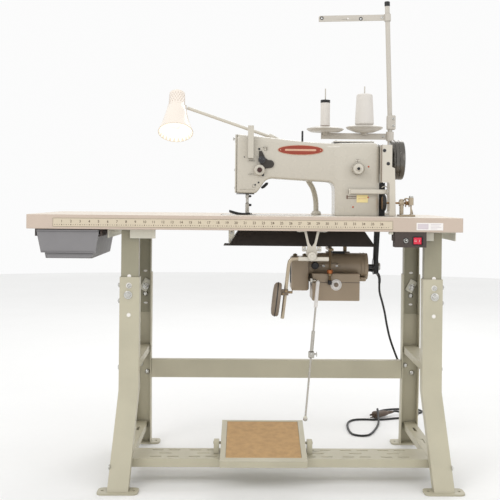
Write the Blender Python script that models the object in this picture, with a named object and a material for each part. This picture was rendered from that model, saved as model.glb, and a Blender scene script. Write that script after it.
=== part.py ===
"""An industrial flat-bed sewing machine on its stand.

The head tips back on the table's rear hinges. A motor under the table drives the handwheel by a V-belt,
a treadle works the motor's lever through a rod, and a knee lever lifts the presser foot.
Metres, +Z up. The machine faces -Y. The origin is on the floor, under the middle of the stand and table.
Y is measured from the table's centre line everywhere below, and one empty shifts the whole machine back.
"""

import math

import bmesh
import bpy
from mathutils import Matrix, Vector

# Driving dimensions, in metres
TABLE_SHIFT = 0.052  # from the middle of the footprint back to the table's centre line
GAP = 0.0003  # clearance between neighbours that touch

TABLE_HALF_LENGTH = 0.6096
TABLE_HALF_WIDTH = 0.254
TABLE_TOP = 0.745
TABLE_THICKNESS = 0.040
TABLE_UNDER = TABLE_TOP - TABLE_THICKNESS

BED_LEFT, BED_RIGHT = -0.074, 0.400
BED_HALF_WIDTH = 0.089
BED_THICKNESS = 0.012
BED_UNDER = TABLE_TOP - BED_THICKNESS

LEG_PLACES = {"left": -0.327, "right": 0.534}
OUTWARD = {"left": -1, "right": 1}
LEG_WIDTH = 0.056
LEG_DEPTH = 0.035
LEG_SHEET = 0.003
FRONT_LEG_TOP, BACK_LEG_TOP = 0.569, 0.555
KNEE_HEIGHT = 0.249
FOOT_SPLAY = 0.010  # of the front feet only
FOOT_HALF_LENGTH = 0.055
LOWER_BRACE_HALF, LOWER_BRACE_SHIFT = 0.019, 0.0045  # shifted outward, toward the splayed front foot
FRONT_WEB, BACK_WEB = -0.208, 0.168
FRONT_FOOT_WEB, BACK_FOOT_WEB = -0.345, 0.190
FOOT_THICKNESS = 0.005
BRACE_TOP = 0.323
RAIL_TOP = 0.0707
RAIL_UNDER = 0.047

WHEEL_Y, WHEEL_Z = 0.0, 0.917  # the main shaft's line
MOTOR_Y, MOTOR_Z = 0.090, 0.583  # the motor shaft's line
BELT_X = 0.410
BELT_THICKNESS = 0.007
WHEEL_BELT_RADIUS, MOTOR_BELT_RADIUS = 0.0385, 0.018
MOTOR_END = 0.383

NEEDLE_X = 0.003
PRESSER_Y = 0.018
HOOK_X = 0.026
ARM_FRONT = -0.040
COLUMN_FRONT = -0.059

POST_X, POST_Y = 0.470, 0.205
POST_RADIUS = 0.008
POST_JOINT = 1.048  # where the upper tube starts, inside the joiner
POST_TOP = 1.446
POST_LEAN = Vector((-0.034, 0, 1)).normalized()  # the upper tube's direction
SPOOL_ARM_MIDDLE = 1.0016
DISCS = {"tube": (0.2563, 1.0235, 1.157), "cone": (0.3854, 1.0300, 1.166)}  # x, rim height, pin top
DISC_CROWN = 0.0092  # how far a disc's crown stands above its rim
DISC_RADIUS = 0.0615

PEDAL_LEFT, PEDAL_RIGHT = -0.065, 0.175
PEDAL_Y, PEDAL_Z = -0.190, 0.098
PEDAL_SLOPE = math.radians(12)
PITMAN_FOOT = Vector((0.183, -0.065, 0.136))
PITMAN_TOP = Vector((0.2222, -0.004, 0.546))
LEVER_Y, LEVER_Z = 0.055, 0.545

KNEE_X, KNEE_Z = 0.187, 0.634
KNEE_Y = -0.222
PAD_LEAN = math.radians(6.4)  # the knee pad leans as its rod does

LAMP_BASE = Vector((0.219, 0.068, TABLE_TOP))
LAMP_PIVOT = Vector((-0.1850, 0.006, 1.069))
SHADE_TOP = Vector((-0.2158, 0.029, 1.118))
SHADE_AXIS = Vector((0.01, -0.50, -0.865)).normalized()

WINDER_Y, WINDER_Z = -0.076, 0.785

CORD_RADIUS = 0.0035
CORD_POINTS = 84
CORD_START = Vector((0.3908, 0.118, 0.570))
FLOOR_CORD = 0.0038  # height of the cord's middle where it lies on the floor
PLUG_FACE = Vector((0.472, 0.514, 0.0135))
PLUG_AXIS = Vector((0.839, 0.544, 0.0)).normalized()
PLUG_LENGTH = 0.088

X, Y, Z = Vector((1, 0, 0)), Vector((0, 1, 0)), Vector((0, 0, 1))


# Scene

def clear_scene():
    for old in list(bpy.data.objects):
        bpy.data.objects.remove(old, do_unlink=True)


def linear(level):
    """One sRGB channel, 0 to 255, as the linear value that a shader takes."""
    share = level / 255
    return share / 12.92 if share <= 0.04045 else ((share + 0.055) / 1.055) ** 2.4


def finish(name, red, green, blue, roughness, metallic=0.0):
    made = bpy.data.materials.new(name)
    made.use_nodes = True
    shader = made.node_tree.nodes["Principled BSDF"]
    shader.inputs["Base Color"].default_value = (linear(red), linear(green), linear(blue), 1)
    shader.inputs["Roughness"].default_value = roughness
    shader.inputs["Metallic"].default_value = metallic
    return made


def finishes():
    return {
        "laminate": finish("laminate", 205, 192, 172, 0.45),
        "stand_paint": finish("stand_paint", 178, 174, 155, 0.40),
        "head_enamel": finish("head_enamel", 214, 210, 198, 0.30),
        "cream_paint": finish("cream_paint", 225, 222, 212, 0.35),
        "motor_paint": finish("motor_paint", 140, 128, 112, 0.40),
        "pan_black": finish("pan_black", 34, 28, 24, 0.55),
        "dark_iron": finish("dark_iron", 62, 62, 64, 0.30, 0.6),
        "steel": finish("steel", 178, 176, 170, 0.25, 1.0),
        "brass": finish("brass", 168, 132, 92, 0.35, 1.0),
        "grey_plastic": finish("grey_plastic", 122, 120, 121, 0.50),
        "box_black": finish("box_black", 60, 54, 54, 0.55),
        "rocker_red": finish("rocker_red", 205, 30, 58, 0.30),
        "rubber": finish("rubber", 30, 29, 28, 0.70),
        "pad_grey": finish("pad_grey", 118, 116, 108, 0.65),
        "plug_brown": finish("plug_brown", 104, 88, 74, 0.50),
        "thread": finish("thread", 232, 228, 222, 0.80),
        "shade_white": finish("shade_white", 240, 236, 228, 0.30),
    }


def placed(name, mesh, pivot):
    """An object for the mesh, with its origin on the pivot, under the empty that shifts the machine."""
    made = bpy.data.objects.new(name, mesh)
    bpy.context.scene.collection.objects.link(made)
    mesh.transform(Matrix.Translation(-Vector(pivot)))
    made.location = pivot
    made.parent = bpy.data.objects["machine"]
    return made


def helper(name, shape):
    mesh = bpy.data.meshes.new(name)
    shape.to_mesh(mesh)
    shape.free()
    made = placed(name, mesh, (0, 0, 0))
    made.hide_render = True
    made.display_type = "WIRE"
    return made


def combine(target, other, operation):
    modifier = target.modifiers.new(other.name, "BOOLEAN")
    modifier.operation = operation
    modifier.solver = "EXACT"
    modifier.object = other


def part(name, shape, look, pivot=(0, 0, 0), joined=(), cut=()):
    """One sub-part: a shape, the shapes fused to it and the shapes cut from it."""
    mesh = bpy.data.meshes.new(name)
    shape.to_mesh(mesh)
    shape.free()
    mesh.materials.append(look)
    mesh.shade_smooth()
    mesh.set_sharp_from_angle(angle=math.radians(35))
    made = placed(name, mesh, pivot)
    for number, other in enumerate(joined):
        combine(made, helper(f"{name}_joined_{number}", other), "UNION")
    for number, other in enumerate(cut):
        combine(made, helper(f"{name}_cut_{number}", other), "DIFFERENCE")
    return made


# Shapes

def outward_facing(shape):
    bmesh.ops.recalc_face_normals(shape, faces=shape.faces)
    if shape.calc_volume(signed=True) < 0:
        bmesh.ops.reverse_faces(shape, faces=shape.faces)
    return shape


def loft(rings, closed=False):
    """A skin through rings of equally many points, capped at both ends or joined end to end."""
    shape = bmesh.new()
    loops = [[shape.verts.new(point) for point in ring] for ring in rings]
    pairs = list(zip(loops, loops[1:]))
    if closed:
        pairs.append((loops[-1], loops[0]))
    for lower, upper in pairs:
        for i, corner in enumerate(lower):
            j = (i + 1) % len(lower)
            shape.faces.new((corner, lower[j], upper[j], upper[i]))
    if not closed:
        shape.faces.new(loops[0])
        shape.faces.new(loops[-1])
    return outward_facing(shape)


def prism(outline, axis, start, end):
    """An outline pushed along X, Y or Z; its points are (y, z), (x, z) or (x, y)."""
    place = {
        "X": lambda u, v, along: (along, u, v),
        "Y": lambda u, v, along: (u, along, v),
        "Z": lambda u, v, along: (u, v, along),
    }[axis]
    return loft([[place(u, v, along) for u, v in outline] for along in (start, end)])


def rectangle(left, right, low, high):
    return [(left, low), (right, low), (right, high), (left, high)]


def block(left, right, front, back, low, high):
    return prism(rectangle(left, right, front, back), "Z", low, high)


def bevelled(shape, width, segments=1):
    sharp = [edge for edge in shape.edges if edge.calc_face_angle(0) > math.radians(30)]
    bmesh.ops.bevel(shape, geom=sharp, offset=width, segments=segments, profile=0.5, affect="EDGES")
    return shape


def arc(centre, radius, start, end, steps):
    """Points round a centre, from one angle to another in degrees."""
    points = []
    for step in range(steps + 1):
        angle = math.radians(start + (end - start) * step / steps)
        points.append((centre[0] + radius * math.cos(angle), centre[1] + radius * math.sin(angle)))
    return points


def rounded(left, right, low, high, radius, steps=3):
    """A rectangle with round corners."""
    return (
        arc((right - radius, low + radius), radius, -90, 0, steps)
        + arc((right - radius, high - radius), radius, 0, 90, steps)
        + arc((left + radius, high - radius), radius, 90, 180, steps)
        + arc((left + radius, low + radius), radius, 180, 270, steps)
    )


def turned(profile, centre, axis, steps=24, bored=False):
    """A profile of (radius, distance along the axis), turned; a radius of 0 closes an end."""
    shape = bmesh.new()
    frame = Matrix.Translation(centre) @ axis.to_track_quat("Z", "Y").to_matrix().to_4x4()
    loops = []
    for radius, along in profile:
        count = steps if radius > 0 else 1
        angles = [math.tau * step / steps for step in range(count)]
        places = [Vector((radius * math.cos(a), radius * math.sin(a), along)) for a in angles]
        loops.append([shape.verts.new(frame @ place) for place in places])
    pairs = list(zip(loops, loops[1:]))
    if bored:
        pairs.append((loops[-1], loops[0]))
    for lower, upper in pairs:
        for i in range(steps):
            j = (i + 1) % steps
            below = (lower[i % len(lower)], lower[j % len(lower)])
            above = (upper[j % len(upper)], upper[i % len(upper)])
            shape.faces.new(dict.fromkeys(below + above))
    return outward_facing(shape)


def rod(start, end, radius, steps=16):
    start, end = Vector(start), Vector(end)
    length = (end - start).length
    profile = [(0, 0), (radius, 0), (radius, length), (0, length)]
    return turned(profile, start, (end - start).normalized(), steps)


def smooth_path(points, steps):
    """Points along the Catmull-Rom curve through the given ones."""
    points = [Vector(point) for point in points]
    padded = [2 * points[0] - points[1], *points, 2 * points[-1] - points[-2]]
    path = []
    for a, b, c, d in zip(padded, padded[1:], padded[2:], padded[3:]):
        for step in range(steps):
            t = step / steps
            squared = (2 * a - 5 * b + 4 * c - d) * t**2
            cubed = (3 * b - a - 3 * c + d) * t**3
            path.append(0.5 * (2 * b + (c - a) * t + squared + cubed))
    return [*path, points[-1]]


def evenly_spaced(path, count):
    """The same line with this many points at equal distances."""
    lengths = [0.0]
    for before, after in zip(path, path[1:]):
        lengths.append(lengths[-1] + (after - before).length)
    spaced = []
    piece = 0
    for number in range(count):
        target = lengths[-1] * number / (count - 1)
        while piece < len(path) - 2 and lengths[piece + 1] < target:
            piece += 1
        share = (target - lengths[piece]) / (lengths[piece + 1] - lengths[piece])
        spaced.append(path[piece].lerp(path[piece + 1], share))
    return spaced


def pipe(points, radius, sides=12):
    """A round bar along a line of points."""
    points = [Vector(point) for point in points]
    ends = [points[0], *points, points[-1]]
    rings = []
    across = None
    for before, middle, after in zip(ends, ends[1:], ends[2:]):
        along = (after - before).normalized()
        across = along.orthogonal() if across is None else across - along * across.dot(along)
        across.normalize()
        beside = along.cross(across)
        angles = [math.tau * side / sides for side in range(sides)]
        offsets = [math.cos(a) * across + math.sin(a) * beside for a in angles]
        rings.append([middle + radius * offset for offset in offsets])
    return loft(rings)


def together(shapes):
    """Separate shapes held as one, for a cutter."""
    whole = bmesh.new()
    for shape in shapes:
        mesh = bpy.data.meshes.new("loose")
        shape.to_mesh(mesh)
        shape.free()
        whole.from_mesh(mesh)
        bpy.data.meshes.remove(mesh)
    return whole


def moved(shape, matrix):
    bmesh.ops.transform(shape, matrix=matrix, verts=shape.verts)
    return shape


def channel(left, right, low, high, sheet):
    """The outline of a folded channel that is open below."""
    return [
        (left, low), (left, high), (right, high), (right, low),
        (right - sheet, low), (right - sheet, high - sheet),
        (left + sheet, high - sheet), (left + sheet, low),
    ]


def tray(bottom, top, low, high, sheet):
    """An open-topped box; bottom and top are its outer (left, right, front, back)."""
    def ring(sides, inset, height):
        left, right, front, back = sides
        outline = rectangle(left + inset, right - inset, front + inset, back - inset)
        return [(x, y, height) for x, y in outline]
    outside = [ring(bottom, 0, low), ring(top, 0, high)]
    inside = [ring(top, sheet, high), ring(bottom, sheet, low + sheet)]
    return loft(outside + inside)


# Table

def make_table(looks):
    length, width = TABLE_HALF_LENGTH, TABLE_HALF_WIDTH
    corners = rounded(-length, length, -width, width, 0.008)
    pocket_gap, ledge, clear = 0.0015, 0.015, 0.010
    left, right = BED_LEFT - pocket_gap, BED_RIGHT + pocket_gap
    half = BED_HALF_WIDTH + pocket_gap
    pocket = block(left, right, -half, half, BED_UNDER - 0.001, TABLE_TOP + clear)
    well = block(left + ledge, right - ledge, ledge - half, half - ledge, TABLE_UNDER - clear, TABLE_TOP)
    belt_slot = block(0.396, 0.444, -0.03, 0.12, TABLE_UNDER - clear, TABLE_TOP + 2 * clear)
    slab = prism(corners, "Z", TABLE_UNDER, TABLE_TOP)
    part("table_top", slab, looks["laminate"], cut=[pocket, well, belt_slot])


# Stand

def leg_ring(centre, web, toward, width, depth, sheet, height):
    """The channel section of a leg at one height; toward is +1 where its open side faces +Y."""
    half = width / 2
    outline = [
        (-half, 0), (half, 0), (half, depth), (half - sheet, depth),
        (half - sheet, sheet), (sheet - half, sheet), (sheet - half, depth), (-half, depth),
    ]
    return [(centre + x, web + toward * y, height) for x, y in outline]


def make_leg(side, end, looks):
    centre, outward = LEG_PLACES[side], OUTWARD[side]
    front = end == "front"
    toward = 1 if front else -1
    web, foot_web = (FRONT_WEB, FRONT_FOOT_WEB) if front else (BACK_WEB, BACK_FOOT_WEB)
    foot_centre = centre + outward * FOOT_SPLAY if front else centre
    top = FRONT_LEG_TOP if front else BACK_LEG_TOP
    section = (toward, LEG_WIDTH, LEG_DEPTH, LEG_SHEET)
    rings = [
        leg_ring(foot_centre, foot_web, *section, FOOT_THICKNESS / 2),
        leg_ring(centre, web, *section, KNEE_HEIGHT),
        leg_ring(centre, web, *section, top),
    ]
    plate_front, plate_back = (-0.358, -0.303) if front else (0.156, 0.213)
    left, right = foot_centre - FOOT_HALF_LENGTH, foot_centre + FOOT_HALF_LENGTH
    plate = prism(rounded(left, right, plate_front, plate_back, 0.014), "Z", 0, FOOT_THICKNESS)
    middle = (plate_front + plate_back) / 2
    holes = [
        rod((foot_centre + offset, middle, -0.01), (foot_centre + offset, middle, 0.02), 0.0045, 12)
        for offset in (-0.042, 0.042)
    ]
    paint = looks["stand_paint"]
    part(f"{side}_{end}_leg", loft(rings), paint, joined=[plate], cut=[together(holes)])


def make_slide(side, end, looks):
    """The upper half of a leg, nested in the lower one and clamped at the table's height."""
    sheet, low = 0.0025, 0.425
    inset = LEG_SHEET + GAP
    toward = 1 if end == "front" else -1
    web = (FRONT_WEB if end == "front" else BACK_WEB) + toward * inset
    width = LEG_WIDTH - 2 * inset
    high = TABLE_UNDER - GAP - LEG_SHEET - GAP
    section = (LEG_PLACES[side], web, toward, width, 0.031, sheet)
    rings = [leg_ring(*section, height) for height in (low, high)]
    part(f"{side}_{end}_slide", loft(rings), looks["stand_paint"])


def make_top_rail(side, looks):
    """The channel that carries the table on one pair of legs."""
    centre, outward = LEG_PLACES[side], OUTWARD[side]
    front, back, height = -0.2125, 0.185, 0.026
    left, right = sorted((centre + outward * 0.063, centre - outward * 0.030))
    high = TABLE_UNDER - GAP
    low = high - height
    rail = prism(channel(left, right, low, high, LEG_SHEET), "Y", front, back)
    inner = sorted((centre, centre - outward * 0.072))
    end_box = block(inner[0], inner[1], front, front + 0.0035, low, high)
    shelf = block(inner[0], inner[1], front, front + 0.030, high - LEG_SHEET, high)
    part(f"{side}_top_rail", rail, looks["stand_paint"], joined=[end_box, shelf])


def make_brace(name, centre, half, front, back, high, drop, looks, slots=()):
    """A channel between a front and a back leg, with an end wall at each leg."""
    low = high - drop
    brace = prism(channel(centre - half, centre + half, low, high, LEG_SHEET), "Y", front, back)
    ends = [
        block(centre - half, centre + half, front, front + LEG_SHEET, low, high),
        block(centre - half, centre + half, back - LEG_SHEET, back, low, high),
    ]
    holes = [slot_along("Y", centre, place, high, length) for place, length in slots]
    cuts = [together(holes)] if holes else []
    part(name, brace, looks["stand_paint"], joined=ends, cut=cuts)


def slot_along(axis, x, y, high, length, width=0.008):
    """A cutter for a slot with round ends in a channel's top, at height high."""
    reach, radius = length / 2 - width / 2, width / 2
    if axis == "X":
        outline = arc((x + reach, y), radius, -90, 90, 3) + arc((x - reach, y), radius, 90, 270, 3)
    else:
        outline = arc((x, y + reach), radius, 0, 180, 3) + arc((x, y - reach), radius, 180, 360, 3)
    return prism(outline, "Z", high - 0.008, high + 0.008)


def make_braces(looks):
    web_reach = LEG_SHEET + GAP
    for side, centre in LEG_PLACES.items():
        outward = OUTWARD[side]
        front, back = FRONT_WEB + web_reach, BACK_WEB - web_reach
        make_brace(f"{side}_upper_brace", centre, 0.023, front, back, BRACE_TOP, 0.022, looks)
        slots = [(-0.20, 0.05), (-0.06, 0.05), (0.08, 0.05)]
        middle = centre + outward * LOWER_BRACE_SHIFT
        lower = (middle, LOWER_BRACE_HALF, -0.2975, 0.1775, RAIL_TOP, 0.022)
        make_brace(f"{side}_lower_brace", *lower, looks, slots)


def make_crossbar(looks):
    """The flat-faced channel that joins the two back legs."""
    left = LEG_PLACES["left"] + LEG_WIDTH / 2 + GAP
    right = LEG_PLACES["right"] - LEG_WIDTH / 2 - GAP
    low, high, front, back, sheet = 0.2195, 0.277, 0.136, 0.161, LEG_SHEET
    outline = [
        (back, low), (front, low), (front, high), (back, high),
        (back, high - sheet), (front + sheet, high - sheet),
        (front + sheet, low + sheet), (back, low + sheet),
    ]
    ends = [
        block(left, left + sheet, front, back, low, high),
        block(right - sheet, right, front, back, low, high),
    ]
    part("crossbar", prism(outline, "X", left, right), looks["stand_paint"], joined=ends)


def make_foot_rail(looks):
    """The slotted channel across the lower braces, which carries the pedal."""
    inward = LOWER_BRACE_HALF - LOWER_BRACE_SHIFT + GAP
    left = LEG_PLACES["left"] + inward
    right = LEG_PLACES["right"] - inward
    front, back = -0.257, -0.147
    groups, period, first = 7, 0.108, -0.222
    slots = []
    for group in range(groups):
        middle = first + group * period
        for row, offset, length in (
            (-0.167, -0.024, 0.034), (-0.167, 0.024, 0.034), (-0.200, 0, 0.038),
            (-0.234, -0.024, 0.034), (-0.234, 0.024, 0.034),
        ):
            slots.append(slot_along("X", middle + offset, row, RAIL_TOP, length))
    rail = prism(channel(front, back, RAIL_UNDER, RAIL_TOP, LEG_SHEET), "X", left, right)
    part("foot_rail", rail, looks["stand_paint"], cut=[together(slots)])


def make_stand(looks):
    for side in LEG_PLACES:
        for end in ("front", "back"):
            make_leg(side, end, looks)
            make_slide(side, end, looks)
        make_top_rail(side, looks)
    make_braces(looks)
    make_crossbar(looks)
    make_foot_rail(looks)


# Under the table

def make_drip_pan(looks):
    high = TABLE_UNDER - 0.003
    pan = tray((-0.050, 0.375, -0.165, 0.095), (-0.020, 0.345, -0.150, 0.085), 0.658, high, 0.0015)
    lip = block(-0.064, -0.0485, -0.165, -0.05, 0.658, 0.6595)
    part("drip_pan", pan, looks["pan_black"], joined=[lip])


def make_drawer(looks):
    high, wall, sheet = TABLE_UNDER - GAP, 0.7045 - 0.684, 0.0025
    left, right, lip = -0.587, -0.404, 0.0125
    low = high - wall
    outline = [
        (left, low), (left, high), (right, high), (right, low),
        (right - lip, low), (right - lip, low + sheet), (right - sheet, low + sheet),
        (right - sheet, high - sheet), (left + sheet, high - sheet),
        (left + sheet, low + sheet), (left + lip, low + sheet), (left + lip, low),
    ]
    part("drawer_hanger", prism(outline, "Y", -0.240, 0.135), looks["box_black"])
    bottom, top = (-0.560, -0.431, -0.222, 0.122), (-0.571, -0.420, -0.238, 0.135)
    box = tray(bottom, top, 0.6216, 0.6915, 0.0025)
    rim = prism(rounded(-0.5828, -0.4082, -0.2435, 0.1395, 0.006), "Z", 0.6880, 0.6915)
    front = [(-0.5828, 0.7030), (-0.5690, 0.6385), (-0.4185, 0.6385), (-0.4082, 0.7030)]
    panel = prism(front, "Y", -0.2455, -0.2405)
    inside = block(-0.5675, -0.4235, -0.2345, 0.1315, 0.680, 0.70)
    grip = block(-0.545, -0.446, -0.2385, -0.2235, 0.633, 0.6365)
    pivot = (-0.4955, -0.240, 0.690)
    part("drawer", box, looks["grey_plastic"], pivot=pivot, joined=[rim, grip, panel], cut=[inside])


def make_switch(looks):
    left, right, front, back, low = 0.4167, 0.506, -0.250, -0.2135, 0.662
    high = TABLE_UNDER - GAP
    recess = block(0.4680, 0.4938, front - 0.01, -0.2380, 0.6700, 0.6910)
    tab = block(0.4125, left + 0.001, front + 0.004, back - 0.004, 0.680, high)
    jack = rod((0.448, front - 0.01, 0.682), (0.448, front + 0.008, 0.682), 0.004)
    box = block(left, right, front, back, low, high)
    part("switch_box", box, looks["box_black"], joined=[tab], cut=[recess, jack])
    pivot = Vector((0.4809, -0.2465, 0.6805))
    outline = [
        (-0.0110, -0.0062), (0, -0.0035), (0.0110, -0.0062), (0.0090, 0.0050), (-0.0090, 0.0050),
    ]
    rocker = prism(outline, "Z", -0.0095, 0.0095)
    resting = Matrix.Translation(pivot) @ Matrix.Rotation(math.radians(-8), 4, "Z")
    part("switch_rocker", moved(rocker, resting), looks["rocker_red"], pivot=pivot)


def make_motor(looks):
    body = rod((0.195, MOTOR_Y, MOTOR_Z), (MOTOR_END, MOTOR_Y, MOTOR_Z), 0.042, 28)
    cover = bevelled(block(0.142, 0.1975, 0.040, 0.140, 0.509, 0.6125), 0.007, 2)
    pad = block(0.255, 0.330, 0.098, 0.132, 0.600, 0.628)
    gland = rod((0.378, *CORD_START.yz), (CORD_START.x - 3 * GAP, *CORD_START.yz), 0.0065)
    lever_bore = rod((0.188, LEVER_Y, LEVER_Z), (0.205, LEVER_Y, LEVER_Z), 0.0036)
    part("motor_housing", body, looks["motor_paint"], joined=[cover, pad, gland], cut=[lever_bore])
    profile = [
        (0.012, 0.4815), (0.130, 0.4815), (0.130, 0.538),
        (0.0475, 0.538), (0.0475, 0.566), (0.012, 0.566),
    ]
    box = bevelled(prism(profile, "X", 0.206, 0.352), 0.002)
    part("motor_control_box", box, looks["motor_paint"])


def make_motor_bracket(looks):
    """The plate with the posts that carry the motor, and the screw that tightens the belt."""
    high = TABLE_UNDER - GAP
    plate = block(0.240, 0.345, 0.100, 0.170, high - 0.006, high)
    posts = [rod((x, 0.115, 0.6283), (x, 0.115, high - 0.002), 0.006) for x in (0.268, 0.316)]
    arm = block(0.2540, 0.2690, -0.002, 0.116, 0.636, 0.643)
    screw = rod((0.2586, 0.004, 0.538), (0.2586, 0.004, 0.6415), 0.0035, 12)
    part("motor_bracket", plate, looks["steel"], joined=[*posts, arm, screw])


def pulley_profile(outer, bottom, shaft_ends, shaft_radius):
    """A grooved pulley on a plain shaft; the groove is centred on the belt."""
    half, bottom_half, mouth_half = 0.0075, 0.0036, 0.00575
    left, right = BELT_X - half, BELT_X + half
    start, end = shaft_ends
    return [
        (0, start), (shaft_radius, start), (shaft_radius, left),
        (outer, left), (outer, BELT_X - mouth_half), (bottom, BELT_X - bottom_half),
        (bottom, BELT_X + bottom_half), (outer, BELT_X + mouth_half), (outer, right),
        (shaft_radius, right), (shaft_radius, end), (0, end),
    ]


def make_drive(looks):
    centre = Vector((0, MOTOR_Y, MOTOR_Z))
    profile = pulley_profile(0.026, 0.0155, (MOTOR_END + 0.0005, 0.425), 0.007)
    pivot = (BELT_X, MOTOR_Y, MOTOR_Z)
    part("motor_pulley", turned(profile, centre, X, 22), looks["dark_iron"], pivot=pivot)
    part("drive_belt", belt_shape(), looks["rubber"])


def belt_shape():
    """The V-belt: round the handwheel's pulley, down through the table and round the motor's."""
    upper, lower = Vector((WHEEL_Y, WHEEL_Z)), Vector((MOTOR_Y, MOTOR_Z))
    between = lower - upper
    heading = math.degrees(math.atan2(between.y, between.x))
    lean = math.degrees(math.acos((WHEEL_BELT_RADIUS - MOTOR_BELT_RADIUS) / between.length))
    inner_half, outer_half = 0.003, 0.005
    stations = []
    for centre, radius, start, end, steps in (
        (upper, WHEEL_BELT_RADIUS, heading + lean, heading + 360 - lean, 18),
        (lower, MOTOR_BELT_RADIUS, heading - lean, heading + lean, 12),
    ):
        inside = arc(centre, radius, start, end, steps)
        outside = arc(centre, radius + BELT_THICKNESS, start, end, steps)
        stations += zip(inside, outside)
    rings = []
    for inside, outside in stations:
        rings.append([
            (BELT_X - inner_half, *inside), (BELT_X + inner_half, *inside),
            (BELT_X + outer_half, *outside), (BELT_X - outer_half, *outside),
        ])
    return loft(rings, closed=True)


def make_motor_lever(looks):
    plate_left, plate_right = 0.1982, 0.2045
    outline = [
        (-0.0100, 0.5400), (LEVER_Y, 0.5380), (LEVER_Y + 0.007, LEVER_Z),
        (LEVER_Y, 0.5520), (-0.0100, 0.5520),
    ]
    plate = prism(outline, "X", plate_left, plate_right)
    pin = rod((0.190, LEVER_Y, LEVER_Z), (plate_left + 0.001, LEVER_Y, LEVER_Z), 0.003)
    stud = rod((plate_right - 0.001, *PITMAN_TOP.yz), (0.2155, *PITMAN_TOP.yz), 0.003)
    pivot = (plate_left, LEVER_Y, LEVER_Z)
    part("motor_lever", plate, looks["steel"], pivot=pivot, joined=[pin, stud])


def make_treadle(looks):
    tilt = Matrix.Translation((0, PEDAL_Y, PEDAL_Z)) @ Matrix.Rotation(PEDAL_SLOPE, 4, "X")
    top, rim, near, far, sheet = 0.006, 0.010, -0.1227, 0.1329, 0.004
    outer = (PEDAL_LEFT, PEDAL_RIGHT, near, far)
    shell = moved(tray(outer, outer, -top, rim - top, sheet), Matrix.Rotation(math.pi, 4, "X"))
    shell = moved(shell, Matrix.Translation((0, near + far, 0)))
    recess = block(-0.050, 0.160, near + 0.022, far - 0.009, top - 0.0015, top + 0.01)
    inset = 0.0005
    left, right = PEDAL_LEFT + inset, PEDAL_RIGHT - inset
    lip = block(left, right, near - inset, near + 0.005, -0.012, top - inset)
    axle = rod((-0.0865, 0, 0), (0.1965, 0, 0), 0.0038, 12)
    boss = block(PEDAL_RIGHT - 0.016, right, far - 0.016, far - inset, -0.006, 0.003)
    lower = [moved(shape, tilt) for shape in (lip, axle, boss)]
    pivot, paint = (0, PEDAL_Y, PEDAL_Z), looks["stand_paint"]
    part("pedal", moved(shell, tilt), paint, pivot=pivot, joined=lower, cut=[moved(recess, tilt)])
    for side, left, right in (("left", -0.085, -0.070), ("right", 0.180, 0.195)):
        low = RAIL_TOP + GAP
        outline = [(-0.208, low), (-0.172, low), (-0.180, 0.107), (-0.200, 0.107)]
        bore = rod((left - 0.01, PEDAL_Y, PEDAL_Z), (right + 0.01, PEDAL_Y, PEDAL_Z), 0.0046)
        part(f"{side}_pedal_bracket", prism(outline, "X", left, right), paint, cut=[bore])


def make_pitman(looks):
    """The rod from the pedal to the motor's lever, in two lengths that clamp together."""
    thin, sleeve, white = 0.003, 0.0055, 0.0048
    along = PITMAN_TOP - PITMAN_FOOT
    low, high, top, end = (share * along.length for share in (0.46, 0.63, 0.85, 1.0))
    profile = [
        (0, -0.007), (0.006, -0.004), (0.007, 0), (0.006, 0.004), (thin, 0.0065),
        (thin, low), (sleeve, low), (sleeve, high), (thin, high),
        (thin, top), (white, top), (white, end), (0, end),
    ]
    rod_shape = turned(profile, PITMAN_FOOT, along.normalized(), 12)
    clamp = bevelled(block(-0.009, 0.009, -0.007, 0.007, -0.010, 0.010), 0.002)
    clamp = moved(clamp, Matrix.Translation(PITMAN_FOOT.lerp(PITMAN_TOP, 0.46)))
    part("pitman_rod", rod_shape, looks["steel"], pivot=PITMAN_FOOT, joined=[clamp])


def make_knee_lifter(looks):
    high = TABLE_UNDER - GAP
    under = high - 0.003
    left_half = [(0.144, high), (0.172, high), (0.1795, 0.670), (KNEE_X, 0.659)]
    right_half = [(2 * KNEE_X - x, z) for x, z in reversed(left_half[:-1])]
    below = [
        (0.230, under), (0.2085, under), (0.1990, 0.660), (0.2040, 0.640), (0.1960, 0.624),
        (KNEE_X, 0.617), (0.1780, 0.624), (0.1700, 0.640), (0.1750, 0.660), (0.1655, under),
        (0.144, under),
    ]
    hanger = prism(left_half + right_half + below, "Y", -0.212, -0.204)
    feet = [
        block(left, right, -0.2230, -0.1930, under, high)
        for left, right in ((0.144, 0.170), (0.204, 0.230))
    ]
    bore = rod((KNEE_X, -0.22, KNEE_Z), (KNEE_X, -0.19, KNEE_Z), 0.0068)
    part("knee_hanger", hanger, looks["cream_paint"], joined=feet, cut=[bore])
    corners = [
        (0.234, 0.6255), (0.185, 0.6255), (0.140, 0.6255), (0.1285, 0.6225),
        (0.1225, 0.612), (0.1175, 0.570), (0.105, 0.457),
    ]
    bend = smooth_path([(x, KNEE_Y, z) for x, z in corners], 3)
    boss = rod((KNEE_X, -0.2300, KNEE_Z), (KNEE_X, -0.2130, KNEE_Z), 0.011, 18)
    shaft = rod((KNEE_X, -0.2200, KNEE_Z), (KNEE_X, -0.1750, KNEE_Z), 0.006)
    pivot = (KNEE_X, KNEE_Y, KNEE_Z)
    part("knee_rod", pipe(bend, 0.0052), looks["steel"], pivot=pivot, joined=[boss, shaft])
    make_knee_pad(looks, pivot)


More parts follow.
